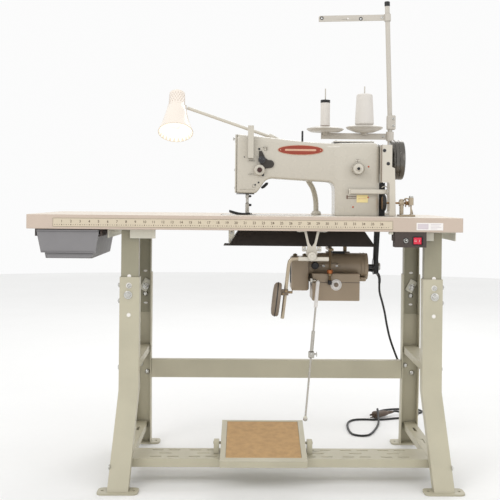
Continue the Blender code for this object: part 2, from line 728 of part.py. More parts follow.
def make_knee_pad(looks, pivot):
    """The oval pad, crowned on the knee's side, with the clamp that holds it on the rod."""
    middle = 0.511
    rings = []
    for x, half_depth, half_height in (
        (0.0760, 0.020, 0.030), (0.0775, 0.030, 0.041), (0.0810, 0.0355, 0.0465),
        (0.0880, 0.0375, 0.0485), (0.0950, 0.0365, 0.0475), (0.0980, 0.033, 0.044),
    ):
        outline = arc((0, 0), 1, 0, 345, 23)
        rings.append([(x, KNEE_Y + half_depth * u, middle + half_height * v) for u, v in outline])
    centre = Vector((0.087, KNEE_Y, middle))
    lean = Matrix.Translation(centre) @ Matrix.Rotation(PAD_LEAN, 4, "Y") @ Matrix.Translation(-centre)
    clamp = block(0.0950, 0.1210, KNEE_Y - 0.009, KNEE_Y + 0.009, 0.523, 0.539)
    along = Vector((0.0125, 0, 0.113)).normalized()
    on_rod = Vector((0.1133, KNEE_Y, 0.532))
    bore = rod(on_rod - along * 0.03, on_rod + along * 0.03, 0.0056)
    pad = moved(loft(rings), lean)
    part("knee_pad", pad, looks["pad_grey"], pivot=pivot, joined=[clamp], cut=[bore])


# Head

def arm_outline():
    fillet = arc((0.2457, 0.826), 0.020, 0, 90, 4)
    return [
        (-0.0295, 0.9885), (0.026, 0.9836), (0.170, 0.9690), (0.248, 0.9640), (0.300, 0.9640),
        (0.300, 0.790), (0.2660, 0.790), *fillet, (0.160, 0.8505), (0.073, 0.8555),
        (0.0536, 0.847), (0.038, 0.824), (0.0243, 0.8085), (-0.0295, 0.8095),
    ]


def make_casting(looks):
    """The hollow arm and column, open at the face, with a tunnel for the main shaft."""
    arm = bevelled(prism(arm_outline(), "Y", ARM_FRONT, -ARM_FRONT), 0.006, 2)
    low = TABLE_TOP + GAP
    column_outline = [(0.2637, low), (0.2667, 0.966), (0.382, 0.9665), (0.400, 0.957), (0.400, low)]
    column = bevelled(prism(column_outline, "Y", COLUMN_FRONT, -COLUMN_FRONT), 0.007, 2)
    hollow = block(0.280, 0.388, -0.046, 0.046, 0.70, 0.950)
    tunnel = block(0.040, 0.285, -0.022, 0.022, 0.895, 0.940)
    face = block(-0.050, 0.045, -0.030, 0.030, 0.822, 0.975)
    bearing = rod((0.380, WHEEL_Y, WHEEL_Z), (0.420, WHEEL_Y, WHEEL_Z), 0.010)
    bars = [rod((NEEDLE_X, y, 0.80), (NEEDLE_X, y, 0.83), 0.0066) for y in (0, PRESSER_Y)]
    take_up_slot = block(0.007, 0.0165, -0.060, -0.020, 0.905, 0.9745)
    take_up_bore = rod((0.040, 0.012, 0.955), (0.056, 0.012, 0.955), 0.0036, 12)
    dial_bore = rod((0.333, -0.070, 0.886), (0.333, -0.040, 0.886), 0.0056)
    lever_bore = rod((0.378, -0.070, 0.818), (0.378, -0.040, 0.818), 0.0046)
    tension_bore = rod((0.039, -0.050, 0.880), (0.039, -0.020, 0.880), 0.0036)
    cuts = [hollow, tunnel, face, bearing, together(bars), take_up_slot]
    cuts += [take_up_bore, dial_bore, lever_bore, tension_bore]
    part("arm_casting", arm, looks["head_enamel"], joined=[column], cut=cuts)


def make_bed(looks):
    outline = rounded(BED_LEFT, BED_RIGHT, -BED_HALF_WIDTH, BED_HALF_WIDTH, 0.006)
    bed = prism(outline, "Z", BED_UNDER, TABLE_TOP)
    needle_slot = block(-0.004, 0.011, -0.005, 0.012, BED_UNDER - 0.01, TABLE_TOP + 0.01)
    post = block(0.0480, 0.0600, -0.012, 0.012, 0.676, BED_UNDER + 0.001)
    shelf = block(0.0120, 0.0600, -0.012, 0.012, 0.676, 0.684)
    hook_bore = rod((HOOK_X, 0, 0.67), (HOOK_X, 0, 0.69), 0.0046)
    part("bed_plate", bed, looks["head_enamel"], joined=[post, shelf], cut=[needle_slot, hook_bore])


def make_head_covers(looks):
    face = bevelled(block(-0.0350, -0.0298, -0.038, 0.038, 0.811, 0.987), 0.0015)
    part("face_plate", face, looks["head_enamel"])
    left, right, front, back, sheet = 0.0031, 0.0206, -0.062, -0.0405, 0.002
    outline = [
        (left, back), (left, front), (right, front), (right, back),
        (right - sheet, back), (right - sheet, front + sheet),
        (left + sheet, front + sheet), (left + sheet, back),
    ]
    cap = block(left, right, front, back, 1.011, 1.013)
    part("take_up_guard", prism(outline, "Z", 0.915, 1.013), looks["head_enamel"], joined=[cap])
    make_belt_guard(looks)


def make_belt_guard(looks):
    front, sheet = -0.0875, 0.0025
    low, step, high = 0.746, 0.888, 0.958
    outline = [
        (0.4003, 0.846), (0.4003, high), (0.4330, high), (0.4330, step + 0.004), (0.4415, step),
        (0.4450, low), (0.4255, low), (0.4255, 0.842), (0.4215, 0.846),
    ]
    side = block(0.4003, 0.4019, front, -0.0490, 0.846, high)
    roof = block(0.4003, 0.4330, front, -0.0340, high - 0.002, high)
    holes = [
        rod((x, front - 0.01, z), (x, front + 0.01, z), 0.003, 12)
        for x, z in ((0.4095, 0.941), (0.4210, 0.902))
    ]
    panel = prism(outline, "Y", front, front + sheet)
    part("belt_guard", panel, looks["cream_paint"], joined=[side, roof], cut=[together(holes)])


def make_handwheel(looks):
    bore = 0.008
    profile = [
        (bore, 0.4025), (0.047, 0.4025), (0.047, BELT_X - 0.00575), (0.036, BELT_X - 0.0036),
        (0.036, BELT_X + 0.0036), (0.047, BELT_X + 0.00575), (0.047, 0.4175), (0.030, 0.4175),
        (0.030, 0.438), (0.057, 0.4395), (0.0612, 0.4440), (0.0612, 0.474), (0.058, 0.478),
        (0.050, 0.478), (0.048, 0.466), (0.022, 0.460), (0.020, 0.474), (bore, 0.474),
    ]
    pivot = (BELT_X, WHEEL_Y, WHEEL_Z)
    centre = Vector((0, WHEEL_Y, WHEEL_Z))
    wheel = turned(profile, centre, X, 28, bored=True)
    part("handwheel", wheel, looks["dark_iron"], pivot=pivot)
    crank, shaft = 0.018, 0.0075
    line = [(0, 0.018), (crank, 0.018), (crank, 0.026), (shaft, 0.026), (shaft, 0.472), (0, 0.472)]
    part("main_shaft", turned(line, centre, X), looks["steel"], pivot=pivot)


def make_needle_end(looks):
    needle = [
        (0, 0.756), (0.0010, 0.760), (0.0010, 0.796), (0.0060, 0.796), (0.0060, 0.806),
        (0.0045, 0.806), (0.0045, 0.940), (0, 0.940),
    ]
    bar = turned(needle, Vector((NEEDLE_X, 0, 0)), Z, 16)
    part("needle_bar", bar, looks["steel"], pivot=(NEEDLE_X, 0, 0.80))
    bar = rod((NEEDLE_X, PRESSER_Y, 0.772), (NEEDLE_X, PRESSER_Y, 0.960), 0.0045)
    ankle = bevelled(block(NEEDLE_X - 0.006, NEEDLE_X + 0.006, 0.0110, 0.0225, 0.748, 0.780), 0.0015)
    sole = bevelled(block(-0.012, 0.018, -0.014, 0.022, 0.7465, 0.7500), 0.0008)
    slot = block(NEEDLE_X - 0.0035, NEEDLE_X + 0.0035, -0.006, 0.005, 0.74, 0.755)
    pivot = (NEEDLE_X, PRESSER_Y, 0.80)
    part("presser_bar", bar, looks["steel"], pivot=pivot, joined=[ankle, sole], cut=[slot])
    cup = [
        (0, 0.678), (0.004, 0.678), (0.004, 0.690), (0.0185, 0.690), (0.0185, 0.730),
        (0.0165, 0.730), (0.0165, 0.697), (0, 0.697),
    ]
    part("hook", turned(cup, Vector((HOOK_X, 0, 0)), Z), looks["steel"], pivot=(HOOK_X, 0, 0.70))


def make_take_up(looks):
    left, right, pivot = 0.0102, 0.0132, Vector((0.0117, 0.012, 0.955))
    bar = block(left, right, -0.054, pivot.y, pivot.z - 0.003, pivot.z + 0.003)
    hub = rod((left, pivot.y, pivot.z), (right, pivot.y, pivot.z), 0.007)
    pin = rod((right - 0.001, pivot.y, pivot.z), (0.052, pivot.y, pivot.z), 0.003, 12)
    eye = rod((left - 0.01, -0.050, pivot.z), (right + 0.01, -0.050, pivot.z), 0.0012, 8)
    part("take_up_lever", bar, looks["steel"], pivot=pivot, joined=[hub, pin], cut=[eye])


def make_controls(looks):
    dial = Vector((0.333, 0, 0.886))
    profile = [
        (0, -0.087), (0.007, -0.087), (0.008, -0.085), (0.0155, -0.084), (0.0165, -0.082),
        (0.0165, -0.0620), (0.0155, -0.0605), (0.005, -0.0605), (0.005, -0.048), (0, -0.048),
    ]
    pivot = (dial.x, COLUMN_FRONT, dial.z)
    part("stitch_dial", turned(profile, dial, Y), looks["cream_paint"], pivot=pivot)
    knob = Vector((0.039, 0, 0.880))
    profile = [
        (0, -0.060), (0.004, -0.060), (0.005, -0.055), (0.0145, -0.054), (0.016, -0.051),
        (0.016, -0.045), (0.014, -0.0415), (0.003, -0.0415), (0.003, -0.032), (0, -0.032),
    ]
    pivot = (knob.x, ARM_FRONT, knob.z)
    part("tension_knob", turned(profile, knob, Y), looks["cream_paint"], pivot=pivot)
    bar = bevelled(block(0.306, 0.424, -0.075, -0.067, 0.811, 0.825), 0.002)
    pin = rod((0.378, -0.070, 0.818), (0.378, -0.048, 0.818), 0.004)
    part("reverse_lever", bar, looks["cream_paint"], pivot=(0.378, -0.071, 0.818), joined=[pin])


def make_lamp(looks):
    """A gooseneck on the bed, a straight tube and the shade that tilts on the tube's end."""
    bends = [
        LAMP_BASE + 0.004 * Z, (0.2175, 0.068, 0.790), (0.2090, 0.069, 0.825), (0.1915, 0.070, 0.855),
        (0.165, 0.070, 0.897), (0.140, 0.068, 0.938), (0.112, 0.065, 0.968), (0.075, 0.062, 0.9865),
    ]
    goose = smooth_path(bends, 3)
    start = goose[-1]
    tube = rod(start.lerp(LAMP_PIVOT, -0.04), LAMP_PIVOT + Vector((0.0022, 0, 0)), 0.005, 12)
    foot = turned([(0, GAP), (0.016, GAP), (0.016, 0.005), (0.011, 0.012), (0, 0.012)], LAMP_BASE, Z, 20)
    part("lamp_arm", pipe(goose, 0.0075, 10), looks["cream_paint"], pivot=LAMP_BASE, joined=[tube, foot])
    outer = [
        (0, 0), (0.018, 0.0005), (0.0235, 0.006), (0.0250, 0.052), (0.0285, 0.058),
        (0.0345, 0.085), (0.0425, 0.118), (0.0485, 0.134), (0.0525, 0.147),
    ]
    inner = [
        (0.0508, 0.148), (0.0468, 0.134), (0.0408, 0.118), (0.0328, 0.085), (0.0268, 0.060),
        (0.0230, 0.052), (0.0215, 0.012), (0, 0.010),
    ]
    shade = turned(outer + inner, SHADE_TOP, SHADE_AXIS, 24)
    stub = rod(LAMP_PIVOT + Vector((-0.012, 0, 0)), LAMP_PIVOT + Vector((-GAP, 0, 0)), 0.006)
    part("lamp_shade", shade, looks["shade_white"], pivot=LAMP_PIVOT, joined=[stub])


def make_head(looks):
    make_bed(looks)
    make_casting(looks)
    make_head_covers(looks)
    make_handwheel(looks)
    make_needle_end(looks)
    make_take_up(looks)
    make_controls(looks)
    make_lamp(looks)


# Thread stand and bobbin winder

def on_upper_tube(height):
    """The point of the leaning tube's middle line at this height."""
    return Vector((POST_X, POST_Y, POST_JOINT)) + POST_LEAN * ((height - POST_JOINT) / POST_LEAN.z)


def make_thread_stand(looks):
    foot = TABLE_TOP + GAP
    line = [
        (0, foot), (0.022, foot), (0.022, foot + 0.004), (0.012, foot + 0.008),
        (POST_RADIUS, foot + 0.012), (POST_RADIUS, POST_JOINT), (0, POST_JOINT),
    ]
    lower = turned(line, Vector((POST_X, POST_Y, 0)), Z, 20)
    joiner = block(POST_X - 0.011, POST_X + 0.0175, POST_Y - 0.0105, POST_Y + 0.0105, 1.024, 1.072)
    upper = rod(on_upper_tube(POST_JOINT - 0.006), on_upper_tube(POST_TOP), POST_RADIUS, 20)
    part("thread_post", lower, looks["cream_paint"], joined=[bevelled(joiner, 0.003), upper])
    make_spool_arm(looks)
    make_guide_arm(looks)
    make_spools(looks)


def make_spool_arm(looks):
    half, thick = 0.010, 0.002
    low, high = SPOOL_ARM_MIDDLE - half, SPOOL_ARM_MIDDLE + half
    bar = block(0.243, POST_X - 0.005, POST_Y - thick, POST_Y + thick, low, high)
    collar = rod((POST_X, POST_Y, low - 0.004), (POST_X, POST_Y, high + 0.006), 0.013, 20)
    bore = rod((POST_X, POST_Y, low - 0.02), (POST_X, POST_Y, high + 0.02), POST_RADIUS + GAP, 20)
    shapes = [collar]
    for x, rim, pin_top in DISCS.values():
        saucer = [
            (0, high - 0.006), (0.009, high - 0.006), (0.011, high + 0.001), (0.030, high + 0.003),
            (0.046, rim - 0.0095), (DISC_RADIUS - 0.005, rim - 0.005), (DISC_RADIUS, rim),
            (DISC_RADIUS - 0.0015, rim + 0.0022), (DISC_RADIUS - 0.013, rim + 0.0055), (0.034, rim + 0.0084),
            (0.020, rim + DISC_CROWN), (0.002, rim + DISC_CROWN), (0.002, pin_top), (0, pin_top),
        ]
        shapes.append(turned(saucer, Vector((x, POST_Y, 0)), Z, 22))
    part("spool_arm", bar, looks["cream_paint"], joined=shapes, cut=[bore])


GUIDE_PIVOT = on_upper_tube(1.3935)


def make_guide_arm(looks):
    left, thick = 0.2316, 0.002
    right = GUIDE_PIVOT.x - 0.006
    outline = [
        (left, 1.376), (right, 1.3835), (right, 1.4035), (left + 0.004, 1.396), (left, 1.392),
    ]
    bar = prism(outline, "Y", POST_Y - thick, POST_Y + thick)
    collar = rod(on_upper_tube(1.3815), on_upper_tube(1.4055), 0.0112, 20)
    bore = rod(on_upper_tube(1.36), on_upper_tube(1.43), POST_RADIUS + GAP, 20)
    eyes = together([
        rod((x, POST_Y - 0.02, 1.388), (x, POST_Y + 0.02, 1.388), 0.0026, 10)
        for x in (0.2415, 0.3276, 0.370)
    ])
    pivot = GUIDE_PIVOT
    part("guide_arm", bar, looks["cream_paint"], pivot=pivot, joined=[collar], cut=[bore, eyes])


def make_spools(looks):
    hole = 0.004
    tube = [(hole, 0), (0.016, 0), (0.016, 0.0870), (hole, 0.0870)]
    cone = [(hole, 0), (0.0295, 0), (0.0312, 0.003), (0.0262, 0.1025), (hole, 0.1025)]
    for name, profile in (("tube", tube), ("cone", cone)):
        x, rim, _ = DISCS[name]
        base = Vector((x, POST_Y, rim + DISC_CROWN + GAP))
        spool = turned(profile, base, Z, bored=True)
        part(f"thread_{name}", spool, looks["thread"], pivot=base)


def make_winder(looks):
    spindle = 0.003
    line = [
        (0, 0.405), (0.020, 0.405), (0.022, 0.4065), (0.022, 0.4145), (0.020, 0.416), (spindle, 0.416),
        (spindle, 0.475), (0.012, 0.475), (0.012, 0.4765), (0.006, 0.4765), (0.006, 0.4855), (0.012, 0.4855),
        (0.012, 0.487), (spindle, 0.487), (spindle, 0.499), (0, 0.499),
    ]
    pivot = (BELT_X, WINDER_Y, WINDER_Z)
    centre = Vector((0, WINDER_Y, WINDER_Z))
    part("winder_wheel", turned(line, centre, X, 16), looks["brass"], pivot=pivot)
    low = TABLE_TOP + GAP
    plate = block(0.454, 0.500, -0.107, -0.056, low, 0.751)
    bearing = bevelled(block(0.458, 0.469, -0.084, -0.068, 0.7505, 0.797), 0.002)
    tension = rod((0.4885, -0.0975, 0.7505), (0.4885, -0.0975, 0.783), 0.0025, 10)
    disc = rod((0.4885, -0.0975, 0.779), (0.4885, -0.0975, 0.801), 0.0075, 16)
    bore = rod((0.450, WINDER_Y, WINDER_Z), (0.475, WINDER_Y, WINDER_Z), 0.0036)
    part("winder_base", plate, looks["steel"], joined=[bearing, tension, disc], cut=[bore])


# Power lead

def cord_route():
    """The lead from the motor, down behind the right leg, and in one open loop back to its plug."""
    floor = FLOOR_CORD
    plug_end = PLUG_FACE + PLUG_AXIS * (PLUG_LENGTH + 2 * GAP)
    return [
        CORD_START, (0.3990, 0.1180, 0.5698), (0.4092, 0.1180, 0.5674),
        (0.4196, 0.1190, 0.5604), (0.4266, 0.1210, 0.5502), (0.4292, 0.1235, 0.5380),
        (0.4290, 0.1270, 0.5200), (0.4310, 0.1310, 0.4960), (0.4406, 0.1400, 0.4653),
        (0.4505, 0.1480, 0.4295), (0.4590, 0.1560, 0.3890), (0.4730, 0.1700, 0.3390),
        (0.4990, 0.1850, 0.2740), (0.5300, 0.1990, 0.2080), (0.5590, 0.2280, 0.1480),
        (0.5840, 0.2950, 0.0960), (0.6050, 0.3800, 0.0560), (0.6150, 0.4500, 0.0260),
        (0.6080, 0.4960, 0.0090), (0.5800, 0.5130, floor), (0.5430, 0.5030, floor),
        (0.5050, 0.4880, floor), (0.4640, 0.4830, floor), (0.4250, 0.4860, floor),
        (0.3940, 0.4780, floor), (0.3720, 0.4480, floor), (0.3610, 0.3950, floor),
        (0.3590, 0.3400, floor), (0.3605, 0.3050, floor), (0.3680, 0.2740, floor),
        (0.3910, 0.2580, floor), (0.4160, 0.2650, floor), (0.4330, 0.2930, floor),
        (0.4480, 0.3330, floor), (0.4640, 0.3850, floor), (0.4760, 0.4350, 0.0062),
        (0.4815, 0.4800, 0.0168), (0.4850, 0.5240, 0.0312), (0.4900, 0.5640, 0.0200),
        (0.5010, 0.6020, 0.0062), (0.5240, 0.6320, floor), (0.5620, 0.6480, floor),
        (0.6010, 0.6510, floor), (0.6300, 0.6510, floor), (0.6540, 0.6410, floor),
        (0.6640, 0.6165, floor), (0.6540, 0.5925, floor), (0.6300, 0.5820, floor),
        (0.6010, 0.5785, 0.0045),
        plug_end + PLUG_AXIS * 0.018, plug_end,
    ]


def make_power_lead(looks):
    points = evenly_spaced(smooth_path(cord_route(), 12), CORD_POINTS)
    curve = bpy.data.curves.new("power_cord", "CURVE")
    curve.dimensions = "3D"
    curve.bevel_depth = CORD_RADIUS
    curve.bevel_resolution = 2
    curve.use_fill_caps = True
    spline = curve.splines.new("POLY")
    spline.points.add(len(points) - 1)
    for point, place in zip(spline.points, points):
        point.co = (*place, 1)
    curve.materials.append(looks["rubber"])
    cord = bpy.data.objects.new("power_cord", curve)
    bpy.context.scene.collection.objects.link(cord)
    cord.parent = bpy.data.objects["machine"]
    make_plug(looks)


def make_plug(looks):
    """The plug on its side: a round face with three pins, and a body that narrows to the lead."""
    side = Z.cross(PLUG_AXIS)
    columns = Matrix((PLUG_AXIS, side, Z)).transposed().to_4x4()
    frame = Matrix.Translation(PLUG_FACE) @ columns
    rings = []
    for along, half_width, half_height in (
        (0.000, 0.0155, 0.0120), (0.003, 0.0170, 0.0130), (0.014, 0.0170, 0.0130),
        (0.018, 0.0140, 0.0115), (0.046, 0.0130, 0.0105), (0.060, 0.0085, 0.0080),
        (0.066, 0.0055, 0.0055), (PLUG_LENGTH, 0.0042, 0.0042),
    ):
        outline = arc((0, 0), 1, 0, 360 - 360 / 16, 15)
        rings.append([(along, half_width * u, half_height * v) for u, v in outline])
    pins = [
        block(-0.016, 0.003, across - 0.00075, across + 0.00075, -0.0032, 0.0032)
        for across in (-0.0065, 0.0065)
    ]
    earth = rod((-0.018, 0, -0.0075), (0.003, 0, -0.0075), 0.0022, 10)
    joined = [moved(shape, frame) for shape in (*pins, earth)]
    part("power_plug", moved(loft(rings), frame), looks["plug_brown"], joined=joined)


def main():
    clear_scene()
    machine = bpy.data.objects.new("machine", None)
    bpy.context.scene.collection.objects.link(machine)
    machine.location = (0, TABLE_SHIFT, 0)
    looks = finishes()
    make_table(looks)
    make_stand(looks)
    make_drip_pan(looks)
    make_drawer(looks)
    make_switch(looks)
    make_motor(looks)
    make_motor_bracket(looks)
    make_drive(looks)
    make_motor_lever(looks)
    make_treadle(looks)
    make_pitman(looks)
    make_knee_lifter(looks)
    make_head(looks)
    make_thread_stand(looks)
    make_winder(looks)
    make_power_lead(looks)


main()
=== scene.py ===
"""Looks for the industrial sewing machine: surfaces, small fittings, light and camera.

Lengths are in metres. Small pieces are built in the table's frame, as the solids are: Y runs from the
table's centre line, and one shift moves a finished mesh back into the shared frame.
"""

import math

import bmesh
import bpy
from mathutils import Matrix, Vector


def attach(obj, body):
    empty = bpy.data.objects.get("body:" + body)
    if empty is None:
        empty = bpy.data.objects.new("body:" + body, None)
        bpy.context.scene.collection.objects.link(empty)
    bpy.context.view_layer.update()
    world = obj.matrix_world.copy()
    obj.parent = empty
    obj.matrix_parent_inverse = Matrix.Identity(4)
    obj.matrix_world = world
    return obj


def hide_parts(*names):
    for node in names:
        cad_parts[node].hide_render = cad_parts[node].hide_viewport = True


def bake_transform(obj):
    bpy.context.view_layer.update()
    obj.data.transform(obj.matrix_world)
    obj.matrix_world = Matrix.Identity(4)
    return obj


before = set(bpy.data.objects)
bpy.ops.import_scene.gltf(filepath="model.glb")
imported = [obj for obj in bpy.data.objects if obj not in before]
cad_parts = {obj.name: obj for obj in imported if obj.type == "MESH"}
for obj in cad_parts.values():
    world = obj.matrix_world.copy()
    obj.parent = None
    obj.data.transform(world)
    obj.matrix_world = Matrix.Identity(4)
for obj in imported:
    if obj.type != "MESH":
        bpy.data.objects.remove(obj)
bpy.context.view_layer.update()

TABLE_SHIFT = 0.052  # from the middle of the footprint back to the table's centre line
X, Y, Z = Vector((1, 0, 0)), Vector((0, 1, 0)), Vector((0, 0, 1))

# Places that the solids share
TABLE_FRONT, TABLE_TOP, TABLE_UNDER = -0.254, 0.745, 0.705
ARM_FRONT, COLUMN_FRONT = -0.04, -0.059
LEG_PLACES = {"left": -0.327, "right": 0.534}
OUTWARD = {"left": -1, "right": 1}
FRONT_WEB, BACK_WEB = -0.208, 0.168
WHEEL_Y, WHEEL_Z = 0.0, 0.917
MOTOR_Y, MOTOR_Z = 0.09, 0.583
BELT_X = 0.41
POST_X, POST_Y, POST_JOINT = 0.47, 0.205, 1.048
POST_LEAN = Vector((-0.034, 0, 1)).normalized()
INCH = 0.0254
SHARP_ANGLE = 35  # degrees: edges sharper than this stay sharp in the shading
MERGE_DISTANCE = 0.00001
CORD_RADIUS = 0.0035
FLOOR_CORD = 0.0038  # height of the cord's middle where it lies on the floor
PLUG_FACE, PLUG_AXIS = Vector((0.472, 0.514, 0.0135)), Vector((0.839, 0.544, 0.0)).normalized()
PLUG_END = 0.0886  # from the plug's face back to where the cord enters it
LAMP_PIVOT = (-0.185, 0.006, 1.069)
SHADE_TOP, SHADE_AXIS = Vector((-0.2158, 0.029, 1.118)), Vector((0.01, -0.5, -0.865)).normalized()
PITMAN_FOOT, PITMAN_TOP = Vector((0.183, -0.065, 0.136)), Vector((0.2222, -0.004, 0.546))
KNEE_Y = -0.222
WINDER_Y, WINDER_Z = -0.076, 0.785


# Node-based finishes

def linear(level):
    """One sRGB channel, 0 to 255, as the linear value that a shader takes."""
    share = level / 255
    return share / 12.92 if share <= 0.04045 else ((share + 0.055) / 1.055) ** 2.4


def colour(rgb):
    """An sRGB colour, 0 to 255, as a shader's linear one."""
    return (*[linear(level) for level in rgb], 1)


class Graph:
    """A short way to add nodes to a material."""

    def __init__(self, name):
        self.material = bpy.data.materials.new(name)
        self.material.use_nodes = True
        self.nodes = self.material.node_tree.nodes
        self.links = self.material.node_tree.links
        self.shader = self.nodes["Principled BSDF"]

    def add(self, kind, values=None, **settings):
        node = self.nodes.new(kind)
        for key, value in settings.items():
            setattr(node, key, value)
        for key, value in (values or {}).items():
            self.put(node.inputs[key], value)
        return node

    def put(self, socket, value):
        if isinstance(value, bpy.types.NodeSocket):
            self.links.new(value, socket)
        else:
            socket.default_value = value

    def mix(self, factor, first, second, blend="MIX"):
        node = self.add("ShaderNodeMix", data_type="RGBA", blend_type=blend)
        for index, value in ((0, factor), (6, first), (7, second)):
            self.put(node.inputs[index], value)
        return node.outputs[2]

    def spread(self, value, low, high, to_low, to_high):
        names = ("Value", "From Min", "From Max", "To Min", "To Max")
        node = self.add("ShaderNodeMapRange", dict(zip(names, (value, low, high, to_low, to_high))))
        return node.outputs["Result"]

    def noise(self, scale, detail=3, stretch=(1, 1, 1), rough=0.5):
        place = self.add("ShaderNodeTexCoord").outputs["Object"]
        if stretch != (1, 1, 1):
            place = self.add("ShaderNodeMapping", {"Vector": place, "Scale": stretch}).outputs["Vector"]
        values = {"Vector": place, "Scale": scale, "Detail": detail, "Roughness": rough}
        return self.add("ShaderNodeTexNoise", values).outputs["Fac"]

    def waves(self, scale, direction="Z", distortion=0.0, shape="SIN"):
        place = self.add("ShaderNodeTexCoord").outputs["Object"]
        settings = {"wave_type": "BANDS", "bands_direction": direction, "wave_profile": shape}
        values = {"Vector": place, "Scale": scale, "Distortion": distortion, "Detail": 1.0}
        return self.add("ShaderNodeTexWave", values, **settings).outputs["Fac"]

    def edge_wear(self, radius, low=0.03, high=0.25):
        """1 along rounded corners, 0 on flat faces, broken up by noise."""
        soft = self.add("ShaderNodeBevel", {"Radius": radius}, samples=4).outputs["Normal"]
        flat = self.add("ShaderNodeNewGeometry").outputs["True Normal"]
        dot = self.add("ShaderNodeVectorMath", {0: soft, 1: flat}, operation="DOT_PRODUCT")
        share = self.spread(dot.outputs["Value"], 1 - low, 1 - high, 0.0, 1.0)
        broken = self.spread(self.noise(90, 4), 0.42, 0.62, 0.0, 1.0)
        return self.add("ShaderNodeMath", {0: share, 1: broken}, operation="MULTIPLY").outputs[0]

    def crevice(self, distance, dark):
        """Painted shade from ambient occlusion: 1 in the open, falling to dark in inside corners."""
        made = self.add("ShaderNodeAmbientOcclusion", {"Distance": distance}, samples=4)
        return self.spread(made.outputs["AO"], 0.35, 0.95, dark, 1.0)


def surface(
    rgb, rough, metallic=0.0, mottle=0.05, scale=18, grain=900, bump=0.00004, stretch=(1, 1, 1),
    worn=None, wear=0.0, crevice_shade=0.0, coat=0.0, corner=0.0008, rough_swing=0.06, glow=0.0,
):
    """A painted, moulded or machined finish: uneven tone, fine bump, soft corners, wear and painted shade in
    inside corners.
    """
    graph = Graph("finish")
    shader = graph.shader
    base = colour(rgb)
    broad = graph.spread(graph.noise(scale, 4), 0.3, 0.7, 1 - mottle, 1 + mottle)
    fine = graph.spread(graph.noise(grain, 2, stretch), 0.3, 0.7, 1 - mottle * 0.5, 1 + mottle * 0.5)
    tone = graph.add("ShaderNodeMath", {0: broad, 1: fine}, operation="MULTIPLY").outputs[0]
    # Painted shade: the colour is darkened where ambient occlusion finds inside corners.
    if crevice_shade:
        crevice_darkening = graph.crevice(0.012, 1 - crevice_shade)
        tone = graph.add("ShaderNodeMath", {0: tone, 1: crevice_darkening}, operation="MULTIPLY").outputs[0]
    grey = graph.add("ShaderNodeCombineColor", {"Red": tone, "Green": tone, "Blue": tone}).outputs[0]
    look = graph.mix(1.0, base, grey, "MULTIPLY")
    if worn:
        amount = graph.add("ShaderNodeMath", {0: graph.edge_wear(0.0016), 1: wear}, operation="MULTIPLY")
        look = graph.mix(amount.outputs[0], look, colour(worn))
    graph.put(shader.inputs["Base Color"], look)
    swing = graph.noise(scale * 3, 3)
    level = graph.spread(swing, 0.3, 0.7, max(rough - rough_swing, 0.05), min(rough + rough_swing, 1))
    graph.put(shader.inputs["Roughness"], level)
    shader.inputs["Metallic"].default_value = metallic
    shader.inputs["Coat Weight"].default_value = coat
    shader.inputs["Coat Roughness"].default_value = 0.12
    corners = graph.add("ShaderNodeBevel", {"Radius": corner}, samples=4).outputs["Normal"]
    height = graph.noise(grain, 3, stretch)
    values = {"Height": height, "Distance": bump, "Strength": 1.0, "Normal": corners}
    graph.put(shader.inputs["Normal"], graph.add("ShaderNodeBump", values).outputs["Normal"])
    if glow:
        shader.inputs["Emission Color"].default_value = base
        shader.inputs["Emission Strength"].default_value = glow
    return graph.material


def laminate_finish():
    """The table's top and edge: a pale speckled sheet over a beige moulded edge."""
    graph = Graph("table_laminate")
    side = graph.add("ShaderNodeNewGeometry").outputs["Normal"]
    up = graph.add("ShaderNodeSeparateXYZ", {"Vector": side}).outputs["Z"]
    flat = graph.spread(up, 0.5, 0.8, 0.0, 1.0)
    speckle = graph.spread(graph.noise(1400, 2), 0.35, 0.65, 0.95, 1.04)
    cloud = graph.spread(graph.noise(9, 4), 0.3, 0.7, 0.97, 1.03)
    tone = graph.add("ShaderNodeMath", {0: speckle, 1: cloud}, operation="MULTIPLY").outputs[0]
    grey = graph.add("ShaderNodeCombineColor", {"Red": tone, "Green": tone, "Blue": tone}).outputs[0]
    look = graph.mix(flat, colour((196, 179, 164)), colour((222, 211, 196)))
    graph.put(graph.shader.inputs["Base Color"], graph.mix(1.0, look, grey, "MULTIPLY"))
    graph.put(graph.shader.inputs["Roughness"], graph.spread(graph.noise(60), 0.3, 0.7, 0.38, 0.52))
    corners = graph.add("ShaderNodeBevel", {"Radius": 0.003}, samples=4).outputs["Normal"]
    values = {"Height": graph.noise(1400, 2), "Distance": 0.00003, "Normal": corners}
    graph.put(graph.shader.inputs["Normal"], graph.add("ShaderNodeBump", values).outputs["Normal"])
    return graph.material


def thread_finish():
    """Cross-wound polyester thread."""
    graph = Graph("wound_thread")
    first = graph.waves(150, "Z", 1.2)
    second = graph.waves(95, "DIAGONAL", 0.6)
    both = graph.add("ShaderNodeMath", {0: first, 1: second}, operation="MULTIPLY").outputs[0]
    tone = graph.spread(both, 0.0, 0.8, 0.86, 1.0)
    grey = graph.add("ShaderNodeCombineColor", {"Red": tone, "Green": tone, "Blue": tone}).outputs[0]
    look = graph.mix(1.0, colour((230, 225, 218)), grey, "MULTIPLY")
    graph.put(graph.shader.inputs["Base Color"], look)
    graph.put(graph.shader.inputs["Roughness"], graph.spread(graph.noise(200), 0.3, 0.7, 0.7, 0.9))
    graph.shader.inputs["Sheen Weight"].default_value = 0.25
    values = {"Height": both, "Distance": 0.0003, "Strength": 0.8}
    graph.put(graph.shader.inputs["Normal"], graph.add("ShaderNodeBump", values).outputs["Normal"])
    return graph.material


